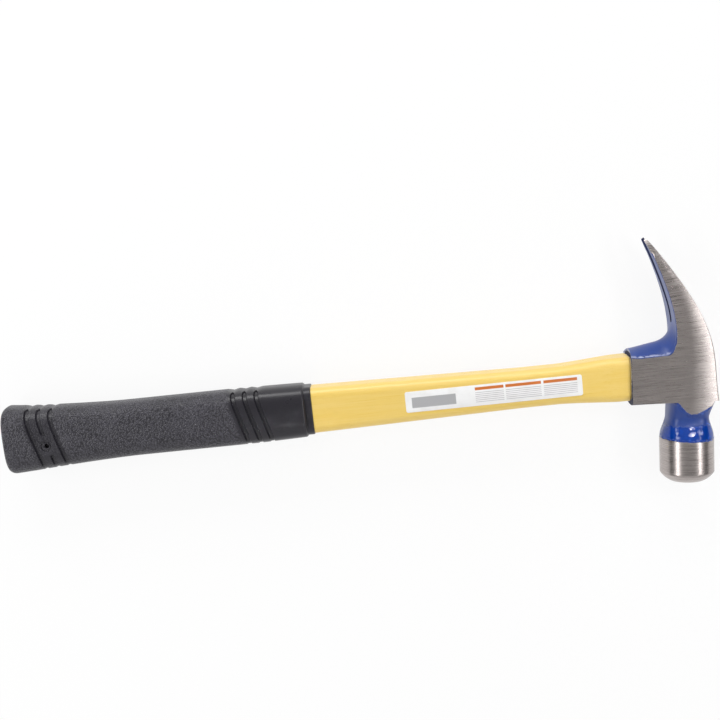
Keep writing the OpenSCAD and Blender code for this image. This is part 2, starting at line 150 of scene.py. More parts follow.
def oval(
    angle: np.ndarray,
    wide: np.ndarray | float,
    narrow: np.ndarray | float,
    deep: np.ndarray | float,
    square: np.ndarray | float,
) -> tuple[np.ndarray, np.ndarray]:
    """Superellipse: the angle's cosine and sine over the root that puts them on |x|^n + |y|^n = 1, stretched.

    Args:
        angle: Angles round the section.
        wide: Reach on the cosine's positive side.
        narrow: Reach on its negative side.
        deep: Reach of the sine, both ways.
        square: The exponent n.

    Returns:
        The two coordinates of the outline.
    """
    c, s = np.cos(angle), np.sin(angle)
    size = (np.abs(c) ** square + np.abs(s) ** square) ** (-1.0 / square)
    return np.where(c > 0, wide, narrow) * c * size, deep * s * size


def slab(
    high: np.ndarray | float, deep: np.ndarray | float, edge: np.ndarray | float, arc: int = 12, side: int = 8
) -> tuple[np.ndarray, np.ndarray]:
    """Rectangle with round corners: the corner's centre plus the edge radius times a direction that turns.

    Args:
        high: Half of the first side, one value a row or one for all.
        deep: Half of the second side.
        edge: Radius of the corners.
        arc: Points on each corner.
        side: Points along each straight side.

    Returns:
        The two coordinates of the outline, rows by columns.
    """
    turn = np.repeat(np.arange(4), arc + side)
    step = np.tile(np.concatenate([np.arange(arc) / (arc - 1), np.ones(side)]), 4)
    run = np.tile(np.concatenate([np.zeros(arc), (np.arange(side) + 1) / (side + 1)]), 4)
    angle = np.pi / 2 * (turn + step)
    signs = np.array([[1, 1], [-1, 1], [-1, -1], [1, -1], [1, 1]], float)
    corner = mix(signs[turn], signs[turn + 1], run[:, None])
    high, deep, edge = (np.asarray(v, float).reshape(-1, 1) for v in (high, deep, edge))
    return (
        corner[:, 0] * (high - edge) + edge * np.cos(angle),
        corner[:, 1] * (deep - edge) + edge * np.sin(angle),
    )


def stack(*parts: np.ndarray | float) -> np.ndarray:
    """Coordinates, spread to one common size, side by side in a last axis."""
    return np.stack(np.broadcast_arrays(*parts), -1).astype(float)


@dataclass
class Grid:
    """A sheet of points on a surface, with its two maps.

    Attributes:
        points: Rows by columns by 3, in the frame of the solids.
        grain: Rows by columns by 2, the distance along the grain and across it.
        zone: Rows by columns by 2, the distances that the finish goes by.
        ring: Whether the columns close on themselves. The maps then have one column more.
    """

    points: np.ndarray
    grain: np.ndarray
    zone: np.ndarray
    ring: bool = False


def cells(rows: int, count: int, width: int) -> np.ndarray:
    """The corners of every cell of a grid, taken round the cell.

    Args:
        rows: Rows of points.
        count: Cells in a row.
        width: Points in a row, after which the row starts again.

    Returns:
        Cells by 4 indices.
    """
    r, c = np.meshgrid(np.arange(rows - 1), np.arange(count), indexing="ij")
    d = (c + 1) % width
    corners = [r * width + c, r * width + d, (r + 1) * width + d, (r + 1) * width + c]
    return np.stack(corners, -1).reshape(-1, 4)


def smooth(piece: bpy.types.Object, angle: float) -> None:
    """Shades a mesh smoothly, apart from its sharp edges.

    Args:
        piece: The object.
        angle: Edges sharper than this, in degrees, stay sharp.
    """
    piece.data.shade_smooth()
    piece.data.set_sharp_from_angle(angle=np.radians(angle))


def build(name: str, grids: list[Grid], angle: float = 32.0) -> bpy.types.Object:
    """Joins grids into one closed mesh: cells become faces, shared edges and poles are merged.

    Args:
        name: Name of the piece.
        grids: The sheets of its surface.
        angle: Edges sharper than this, in degrees, stay sharp.

    Returns:
        The object, at the origin.
    """
    points, faces, maps, start = [], [], {layer: [] for layer in Layer}, 0
    for grid in grids:
        rows, columns = grid.points.shape[:2]
        count = columns if grid.ring else columns - 1
        points.append(grid.points.reshape(-1, 3) * MM)
        faces.append(cells(rows, count, columns) + start)
        corners = cells(rows, count, columns + int(grid.ring)).ravel()
        maps[Layer.GRAIN].append(grid.grain.reshape(-1, 2)[corners])
        maps[Layer.ZONE].append(grid.zone.reshape(-1, 2)[corners])
        start += rows * columns
    mesh = bpy.data.meshes.new(name)
    mesh.from_pydata(np.concatenate(points).tolist(), [], np.concatenate(faces).tolist())
    for layer, parts in maps.items():
        mesh.uv_layers.new(name=layer.value).data.foreach_set("uv", np.concatenate(parts).ravel())
    work = bmesh.new()
    work.from_mesh(mesh)
    bmesh.ops.remove_doubles(work, verts=work.verts, dist=MERGE * MM)
    bmesh.ops.recalc_face_normals(work, faces=work.faces)
    work.to_mesh(mesh)
    work.free()
    piece = bpy.data.objects.new(name, mesh)
    bpy.context.collection.objects.link(piece)
    smooth(piece, angle)
    return piece


def carve(piece: bpy.types.Object, tools: list[bpy.types.Object], angle: float = 32.0) -> None:
    """Cuts closed tools out of a piece and removes them.

    Args:
        piece: The mesh to cut.
        tools: The closed meshes to cut away.
        angle: Edges sharper than this, in degrees, stay sharp.
    """
    for tool in tools:
        cut = piece.modifiers.new(tool.name, "BOOLEAN")
        cut.object, cut.operation, cut.solver = tool, "DIFFERENCE", "EXACT"
    graph = bpy.context.evaluated_depsgraph_get()
    done = bpy.data.meshes.new_from_object(
        piece.evaluated_get(graph), preserve_all_data_layers=True, depsgraph=graph
    )
    whole = piece.data
    piece.modifiers.clear()
    piece.data = done
    bpy.data.meshes.remove(whole)
    done.name = piece.name
    for tool in tools:
        bpy.data.meshes.remove(tool.data)
    smooth(piece, angle)


def capped(rings: np.ndarray) -> np.ndarray:
    """Closes a tube: the first and last ring shrink to their own middles.

    Args:
        rings: Rows by columns by 3.

    Returns:
        The rings with one row more at each end.
    """
    ends = (rings[:1], rings[-1:])
    first, last = (np.repeat(end.mean(1, keepdims=True), rings.shape[1], 1) for end in ends)
    return np.concatenate([first, rings, last])


def tube(rings: np.ndarray, grain_turn: float, zone: np.ndarray | None = None) -> Grid:
    """A closed tube through rings of points, with maps along its length and round it.

    Args:
        rings: Rows by columns by 3.
        grain_turn: Length once round on the maps.
        zone: Rows by columns + 1 by 2 for the zone map, or None for the grain map again.

    Returns:
        The grid, closed at both ends.
    """
    points = capped(rings)
    rows, columns = points.shape[:2]
    step = np.linalg.norm(np.diff(points.mean(1), axis=0), axis=1)
    length = np.concatenate([[0.0], np.cumsum(step)])
    grain = stack(length[:, None], np.linspace(0.0, grain_turn, columns + 1)[None, :])
    if zone is None:
        zone = grain
    else:
        zone = np.concatenate([zone[:1], zone, zone[-1:]])
    return Grid(points, grain, zone, ring=True)


@dataclass(frozen=True)
class Datum:
    """Where the hammer lies in the frame of the solids.

    Attributes:
        butt: X of the grip's butt.
        mouth: X of the socket's mouth.
        axis: Y of the handle's axis.
        middle: Z of the plane between the cheeks.
    """

    butt: float
    mouth: float
    axis: float
    middle: float

    @classmethod
    def read(cls) -> "Datum":
        """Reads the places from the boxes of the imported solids.

        Returns:
            The places, in millimetres.
        """
        low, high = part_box("handle_jacket")
        return cls(
            butt=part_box("grip_sleeve")[0].x / MM,
            mouth=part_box("hammer_head")[0].x / MM,
            axis=(low.y + high.y) / 2 / MM,
            middle=(low.z + high.z) / 2 / MM,
        )

    def on_handle(self, x: np.ndarray, y: np.ndarray, z: np.ndarray) -> np.ndarray:
        """Points given from the butt along the handle's axis, in the frame."""
        return stack(x + self.butt, y + self.axis, z + self.middle)


class NodeBench:
    """Adds nodes to one material or world and joins them."""

    def __init__(self, owner: bpy.types.Material | bpy.types.World) -> None:
        """Starts from an empty tree.

        Args:
            owner: The material or world whose tree it is.
        """
        owner.use_nodes = True
        self.owner, self.tree = owner, owner.node_tree
        self.tree.nodes.clear()

    @classmethod
    def material(cls, name: str) -> "NodeBench":
        """A bench on a new material."""
        return cls(bpy.data.materials.new(name))

    def add(self, kind: str, inputs: dict[str | int, object], **settings: object) -> bpy.types.Node:
        """Adds one node.

        Args:
            kind: The node's type.
            inputs: A value or another node's socket for each input that isn't left as it is.
            **settings: The node's own settings.

        Returns:
            The node.
        """
        node = self.tree.nodes.new(kind)
        for key, value in settings.items():
            setattr(node, key, value)
        for key, value in inputs.items():
            if isinstance(value, bpy.types.NodeSocket):
                self.tree.links.new(value, node.inputs[key])
            else:
                node.inputs[key].default_value = value
        return node

    def layer(self, layer: Layer) -> bpy.types.NodeSocket:
        """One of the mesh's two maps, in millimetres."""
        return self.add("ShaderNodeUVMap", {}, uv_map=layer.value).outputs["UV"]

    def place(self) -> bpy.types.NodeSocket:
        """The place on the object, in millimetres."""
        coordinate = self.add("ShaderNodeTexCoord", {}).outputs["Object"]
        return self.scaled(coordinate, (1 / MM, 1 / MM, 1 / MM))

    def scaled(self, vector: bpy.types.NodeSocket, scale: Triple) -> bpy.types.NodeSocket:
        """A vector multiplied along each axis."""
        return self.add("ShaderNodeVectorMath", {0: vector, 1: scale}, operation="MULTIPLY").outputs[0]

    def parts(self, vector: bpy.types.NodeSocket) -> tuple[bpy.types.NodeSocket, ...]:
        """The X, Y and Z of a vector."""
        return tuple(self.add("ShaderNodeSeparateXYZ", {0: vector}).outputs)

    def math(self, operation: str, a: object, b: object = 0.0) -> bpy.types.NodeSocket:
        """One operation on two values."""
        return self.add("ShaderNodeMath", {0: a, 1: b}, operation=operation).outputs[0]

    def times(self, *values: object) -> bpy.types.NodeSocket:
        """The product of values."""
        return reduce(lambda a, b: self.math("MULTIPLY", a, b), values)

    def plus(self, *values: object) -> bpy.types.NodeSocket:
        """The sum of values."""
        return reduce(lambda a, b: self.math("ADD", a, b), values)

    def ramp(
        self, value: object, low: float, high: float, start: float = 0.0, end: float = 1.0
    ) -> bpy.types.NodeSocket:
        """Goes smoothly from start to end as a value goes from low to high."""
        inputs = {0: value, 1: low, 2: high, 3: start, 4: end}
        return self.add("ShaderNodeMapRange", inputs, interpolation_type="SMOOTHSTEP").outputs[0]

    def band(self, value: object, edges: Band) -> bpy.types.NodeSocket:
        """1 between the inner two of four edges, falling smoothly to 0 at the outer two."""
        return self.times(self.ramp(value, *edges[:2]), self.ramp(value, *edges[2:], 1.0, 0.0))

    def noise(
        self, vector: bpy.types.NodeSocket, scale: float, detail: float = 2.0, rough: float = 0.5
    ) -> bpy.types.NodeSocket:
        """Soft noise from 0 to 1, its scale in waves a millimetre."""
        inputs = {"Vector": vector, "Scale": scale, "Detail": detail, "Roughness": rough}
        return self.add("ShaderNodeTexNoise", inputs).outputs[0]

    def pebbles(self, vector: bpy.types.NodeSocket, scale: float) -> bpy.types.NodeSocket:
        """Distance to the nearest of scattered points, as on a stippled mould."""
        inputs = {"Vector": vector, "Scale": scale}
        return self.add("ShaderNodeTexVoronoi", inputs, feature="SMOOTH_F1").outputs[0]

    def blend(self, share: object, a: object, b: object) -> bpy.types.NodeSocket:
        """A value between a and b."""
        return self.add("ShaderNodeMix", {0: share, 2: a, 3: b}, data_type="FLOAT").outputs[0]

    def tint(self, share: object, a: object, b: object) -> bpy.types.NodeSocket:
        """A colour between a and b."""
        pair = [(*c, 1.0) if isinstance(c, tuple) else c for c in (a, b)]
        return self.add("ShaderNodeMix", {0: share, 6: pair[0], 7: pair[1]}, data_type="RGBA").outputs[2]

    def relief(self, height: object) -> bpy.types.NodeSocket:
        """A normal from a height in millimetres."""
        return self.add("ShaderNodeBump", {"Height": height, "Strength": 1.0, "Distance": MM}).outputs[0]

    def surface(self, **inputs: object) -> bpy.types.Material:
        """Ends the material in one physical shader.

        Args:
            **inputs: The shader's inputs, with _ for a space in a name.

        Returns:
            The finished material.
        """
        shader = self.add("ShaderNodeBsdfPrincipled", {k.replace("_", " "): v for k, v in inputs.items()})
        self.add("ShaderNodeOutputMaterial", {0: shader.outputs[0]})
        return self.owner


@dataclass(frozen=True)
class ForgedFinish:
    """Blue enamel over a forging, with cheeks, back and poll ground bare along the grain map.

    The zone map gives the distance past the line where the enamel stops, and the distance past the line where
    its second, deeper coat starts.

    Attributes:
        glint_past: Where the ridge carries a painted highlight, past the enamel's line: pale bluish metal
            standing in for a glint on the enamel's edge.
        glint_across: Where that painted highlight lies, in Y.
        bead_past: Where the enamel's edge is swollen, past its line.
        shade_past: Where the painted shade takes over, past the deeper coat's line: near-black enamel
            standing in for shade in the slot, the eye, the mouth and the underside.
        line_wander: How far the enamel's line wanders.
        tone_wander: How far the deeper coat's line wanders.
    """

    steel_dark: Colour = (0.335, 0.302, 0.29)
    steel_light: Colour = (0.515, 0.466, 0.45)
    stain: Colour = (0.10, 0.085, 0.07)
    thin_coat: Colour = (0.019, 0.052, 0.235)
    deep_coat: Colour = (0.001, 0.040, 0.29)
    # Painted shade: near-black navy enamel where shade falls, on the slot's and the eye's walls, at the mouth
    # and on the underside.
    painted_shade_coat: Colour = (0.006, 0.012, 0.06)
    # Painted highlight: a pale bluish metal tint on the ridge's edge, standing in for a glint on the wet
    # enamel.
    painted_glint: Colour = (0.60, 0.68, 1.0)
    steel_rough: Pair = (0.22, 0.38)
    coat_rough: Pair = (0.34, 0.09)
    shade_coat_rough: float = 0.75
    coat_height: float = 0.10
    peel_height: float = 0.05
    bead_height: Pair = (0.02, 0.3)
    lump_height: float = 0.4
    grain_height: float = 0.012
    broad_grain: Triple = (0.02, 0.55, 1.0)
    fine_grain: Triple = (0.06, 4.2, 1.0)
    glint_past: Band = (-3.6, -2.6, -1.3, -0.9)
    glint_across: Band = (-12.0, -9.0, 4.0, 7.0)
    bead_past: Band = (-1.7, -0.8, -0.6, 0.0)
    shade_past: Pair = (40.0, 50.0)
    line_wander: float = 0.9
    tone_wander: float = 3.0

    def make(self) -> bpy.types.Material:
        """Makes the material.

        Returns:
            Steel and enamel in one shader, the enamel's edge wandering by a soft noise.
        """
        bench = NodeBench.material("forged_enamel_and_steel")
        place, grain = bench.place(), bench.layer(Layer.GRAIN)
        past_line, past_tone, _ = bench.parts(bench.layer(Layer.ZONE))
        _, across, _ = bench.parts(place)
        wander = bench.math("SUBTRACT", bench.noise(place, 0.32, 3.0, 0.55), 0.5)
        bare = bench.ramp(bench.plus(past_line, bench.times(wander, self.line_wander)), -0.1, 0.1)
        # Painted highlight: patches on the ridge near the enamel's line turn to pale bluish metal, standing
        # in for a glint.
        patches = bench.ramp(bench.noise(place, 0.4, 3.0), 0.37, 0.50)
        glint_patch = bench.times(
            bench.band(past_line, self.glint_past), patches, bench.band(across, self.glint_across)
        )
        bare = bench.math("MAXIMUM", bare, glint_patch)
        broad = bench.noise(bench.scaled(grain, self.broad_grain), 1.0, 3.0)
        fine = bench.noise(bench.scaled(grain, self.fine_grain), 1.0, 3.0, 0.65)
        streak = bench.blend(0.7, broad, fine)
        spots = bench.ramp(bench.noise(place, 0.9, 1.0), 0.76, 0.82, 0.0, 0.6)
        steel = bench.tint(bench.ramp(streak, 0.30, 0.70), self.steel_dark, self.steel_light)
        steel = bench.tint(spots, steel, self.stain)
        cloud = bench.ramp(bench.noise(place, 0.12, 2.0), 0.35, 0.75, 0.0, 0.35)
        tone = bench.ramp(bench.plus(past_tone, bench.times(wander, self.tone_wander)), -0.5, 0.5)
        # Painted shade: past its tone the enamel turns near-black and matte, standing in for shade.
        under = bench.ramp(past_tone, *self.shade_past)
        enamel = bench.tint(tone, self.thin_coat, self.deep_coat)
        enamel = bench.tint(cloud, enamel, self.deep_coat)
        enamel = bench.tint(under, enamel, self.painted_shade_coat)
        bead = bench.ramp(bench.noise(place, 0.5, 2.0), 0.35, 0.7, *self.bead_height)
        height = bench.plus(
            bench.times(bench.noise(place, 0.55, 2.0), self.peel_height),
            bench.times(bench.band(past_line, self.bead_past), bead),
            bench.times(bench.noise(place, 0.3, 1.0), tone, self.lump_height),
            self.coat_height,
        )
        height = bench.blend(bare, height, bench.times(streak, self.grain_height))
        enamel_rough = bench.blend(under, bench.blend(tone, *self.coat_rough), self.shade_coat_rough)
        steel_rough = bench.ramp(fine, 0.25, 0.75, *self.steel_rough)
        return bench.surface(
            Base_Color=bench.tint(glint_patch, bench.tint(bare, enamel, steel), self.painted_glint),
            Metallic=bare,
            Roughness=bench.blend(bare, enamel_rough, steel_rough),
            Normal=bench.relief(height),
        )


@dataclass(frozen=True)
class JacketFinish:
    """Yellow glass-filled resin with long faint flow streaks, small pits and a worn satin gloss."""

    body: Colour = (0.83, 0.575, 0.12)
    streak: Colour = (0.86, 0.62, 0.18)
    pit: Colour = (0.45, 0.32, 0.08)
    flow_scale: Triple = (0.02, 0.6, 0.6)
    fibre_scale: Triple = (0.05, 3.0, 3.0)
    relief: float = 0.03
    rough: Pair = (0.26, 0.40)

    def make(self) -> bpy.types.Material:
        """Makes the material.

        Returns:
            The resin, streaked along the object's X by two noises drawn out that way.
        """
        bench = NodeBench.material("jacket_resin")
        place = bench.place()
        flow = bench.noise(bench.scaled(place, self.flow_scale), 1.0, 4.0, 0.6)
        fibre = bench.noise(bench.scaled(place, self.fibre_scale), 1.0, 3.0, 0.6)
        pits = bench.ramp(bench.noise(place, 1.6, 1.0), 0.79, 0.84)
        streaks = bench.ramp(bench.blend(0.4, flow, fibre), 0.32, 0.68)
        colour = bench.tint(streaks, self.body, self.streak)
        colour = bench.tint(bench.times(pits, 0.5), colour, self.pit)
        height = bench.math("SUBTRACT", bench.blend(0.5, flow, fibre), pits)
        return bench.surface(
            Base_Color=colour,
            Roughness=bench.ramp(fibre, 0.25, 0.75, *self.rough),
            Specular_IOR_Level=0.65,
            Normal=bench.relief(bench.times(height, self.relief)),
        )


@dataclass(frozen=True)
class GripFinish:
    """Black vinyl: stippled, less so between the rear grooves, and smooth and glossier at the front.

    Attributes:
        fade_from: Station of the zone map where the stipple starts to fade.
        fade_to: Station where it has gone.
        rear_from: Station where the rear grooves start.
        rear_to: Station where they end.
        rear_fade: Length over which the stipple changes at both of them.
        rear_stipple: Share of the stipple that is left between them.
    """

    fade_from: float
    fade_to: float
    rear_from: float
    rear_to: float
    rear_fade: float = 1.5
    rear_stipple: float = 0.3
    stipple_height: float = 0.30
    skin_height: Pair = (0.012, 0.05)
    smooth_rough: Pair = (0.27, 0.36)
    stipple_rough: float = 0.38
    body: Colour = (0.016, 0.0145, 0.020)
    # Lighter grey: dust in the smears, and a painted highlight on the stipple's peaks.
    dust_and_sheen: Colour = (0.090, 0.086, 0.108)

    def make(self) -> bpy.types.Material:
        """Makes the material.

        Returns:
            The vinyl, its stipple raised round scattered points and faded by the station.
        """
        bench = NodeBench.material("grip_vinyl")
        place = bench.place()
        station, _, _ = bench.parts(bench.layer(Layer.ZONE))
        behind = bench.ramp(station, self.rear_from - self.rear_fade, self.rear_from, 1.0, 0.0)
        ahead = bench.ramp(station, self.rear_to, self.rear_to + self.rear_fade)
        stippled = bench.times(
            bench.ramp(station, self.fade_from, self.fade_to, 1.0, 0.0),
            bench.blend(bench.math("MAXIMUM", behind, ahead), self.rear_stipple, 1.0),
        )
        grit = bench.pebbles(place, 1.1)
        smear = bench.noise(place, 0.06, 3.0)
        # The stipple's peaks are tinted lighter: a painted highlight standing in for glints on the pebbles.
        peak_sheen = bench.times(bench.ramp(grit, 0.05, 0.68, 0.6, 0.0), stippled)
        colour = bench.tint(peak_sheen, self.body, self.dust_and_sheen)
        colour = bench.tint(bench.ramp(smear, 0.45, 0.75, 0.0, 0.16), colour, self.dust_and_sheen)
        height = bench.plus(
            bench.times(bench.ramp(grit, 0.05, 0.75, 1.0, 0.0), stippled, self.stipple_height),
            bench.times(bench.noise(place, 2.4, 3.0, 0.6), bench.blend(stippled, *self.skin_height)),
        )
        smooth_rough = bench.ramp(smear, 0.3, 0.7, *self.smooth_rough)
        return bench.surface(
            Base_Color=colour,
            Roughness=bench.blend(stippled, smooth_rough, self.stipple_rough),
            Specular_IOR_Level=0.5,
            Normal=bench.relief(height),
        )


@dataclass(frozen=True)
class BondFinish:
    """Cured adhesive: pale amber, a little cloudy, with small bubbles."""

    body: Colour = (0.72, 0.58, 0.30)
    cloud: Colour = (0.86, 0.76, 0.50)
    cloud_height: float = 0.08
    bubble_depth: float = 0.06
    rough: Pair = (0.16, 0.3)

    def make(self) -> bpy.types.Material:
        """Makes the material.

        Returns:
            The resin, clouded by a noise and sunk at scattered points.
        """
        bench = NodeBench.material("bond_resin")
        place = bench.place()
        cloud = bench.noise(place, 0.35, 3.0)
        bubbles = bench.ramp(bench.pebbles(place, 0.8), 0.10, 0.22, 1.0, 0.0)
        colour = bench.tint(bench.ramp(cloud, 0.35, 0.65), self.body, self.cloud)
        swell, sink = bench.times(cloud, self.cloud_height), bench.times(bubbles, self.bubble_depth)
        return bench.surface(
            Base_Color=colour,
            Roughness=bench.ramp(cloud, 0.3, 0.7, *self.rough),
            Normal=bench.relief(bench.math("SUBTRACT", swell, sink)),
        )


@dataclass(frozen=True)
class CoreFinish:
    """Pultruded rod: straight glass strands along X in a clear cream resin."""

    resin: Colour = (0.62, 0.52, 0.30)
    strand: Colour = (0.84, 0.80, 0.64)
    strand_scale: Triple = (0.01, 2.2, 2.2)
    relief: float = 0.04
    rough: Pair = (0.3, 0.5)

    def make(self) -> bpy.types.Material:
        """Makes the material.

        Returns:
            The rod, its strands a noise drawn out along X.
        """
        bench = NodeBench.material("core_strands")
        strand = bench.noise(bench.scaled(bench.place(), self.strand_scale), 1.0, 4.0, 0.65)
        return bench.surface(
            Base_Color=bench.tint(bench.ramp(strand, 0.35, 0.65), self.resin, self.strand),
            Roughness=bench.ramp(strand, 0.3, 0.7, *self.rough),
            Normal=bench.relief(bench.times(strand, self.relief)),
        )


@dataclass(frozen=True)
class LabelFinish:
    """White film with a plain grey panel, three plain orange bars and ruled lines under them.

    Places are on the zone map, from the label's middle.

    Attributes:
        panel: Left, right, bottom and top of the panel.
        bars: Left and right of each bar.
        bar_place: Bottom and top of the bars.
        ruled_place: Bottom and top of the ruled lines.
        ruled_pitch: Distance from line to line.
        print_blur: Half the width over which a printed edge fades.
    """

    panel: Band = (-46.5, -21.5, -3.6, 2.4)
    bars: tuple[Pair, ...] = ((-10.4, 5.8), (6.9, 27.0), (28.4, 47.4))
    bar_place: Pair = (3.0, 4.7)
    ruled_place: Pair = (-4.2, 2.2)
    ruled_pitch: float = 1.07
    print_blur: float = 0.08
    film: Colour = (0.90, 0.90, 0.90)
    stain: Colour = (0.78, 0.77, 0.75)
    orange: Colour = (0.62, 0.17, 0.03)
    grey: Colour = (0.42, 0.42, 0.43)
    hairline: Colour = (0.36, 0.33, 0.36)
    tooth_height: float = 0.012
    rough: Pair = (0.30, 0.42)

    def make(self) -> bpy.types.Material:
        """Makes the material.

        Returns:
            The film, with a patch where both coordinates stay between its edges.
        """
        bench = NodeBench.material("label_film")
        x, y, _ = bench.parts(bench.layer(Layer.ZONE))
        place = bench.place()

        def between(value: bpy.types.NodeSocket, low: float, high: float) -> bpy.types.NodeSocket:
            """1 between two edges and 0 outside them, fading at each.

            Args:
                value: The coordinate.
                low: The first edge.
                high: The second edge.

            Returns:
                The share.
            """
            away = bench.math("ABSOLUTE", bench.math("SUBTRACT", value, (low + high) / 2))
            half = (high - low) / 2
            return bench.ramp(away, half - self.print_blur, half + self.print_blur, 1.0, 0.0)

        columns = bench.plus(*(between(x, left, right) for left, right in self.bars))
        rule = bench.math("FRACT", bench.math("DIVIDE", y, self.ruled_pitch))
        rule = bench.ramp(bench.math("ABSOLUTE", bench.math("SUBTRACT", rule, 0.5)), 0.1, 0.2, 0.75, 0.0)
        tooth = bench.noise(place, 2.0, 3.0)
        colour = bench.tint(bench.ramp(bench.noise(place, 0.15), 0.4, 0.7, 0.0, 0.4), self.film, self.stain)
        for share, ink in (
            (bench.times(columns, rule, between(y, *self.ruled_place)), self.hairline),
            (bench.times(columns, between(y, *self.bar_place)), self.orange),
            (bench.times(between(x, *self.panel[:2]), between(y, *self.panel[2:])), self.grey),
        ):
            colour = bench.tint(share, colour, ink)
        return bench.surface(
            Base_Color=colour,
            Roughness=bench.ramp(tooth, 0.3, 0.7, *self.rough),
            Normal=bench.relief(bench.times(tooth, self.tooth_height)),
        )


def dress(piece: bpy.types.Object, material: bpy.types.Material, node: str) -> None:
    """Gives a piece its finish, lets it ride on the one body and stand for its node.

    Args:
        piece: The finished mesh.
        material: Its finish.
        node: The solid that it stands for.
    """
    piece.data.materials.clear()
    piece.data.materials.append(material)
    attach(piece, "root")
    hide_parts(node)
    LOG.info("%s: %d faces", piece.name, len(piece.data.polygons))


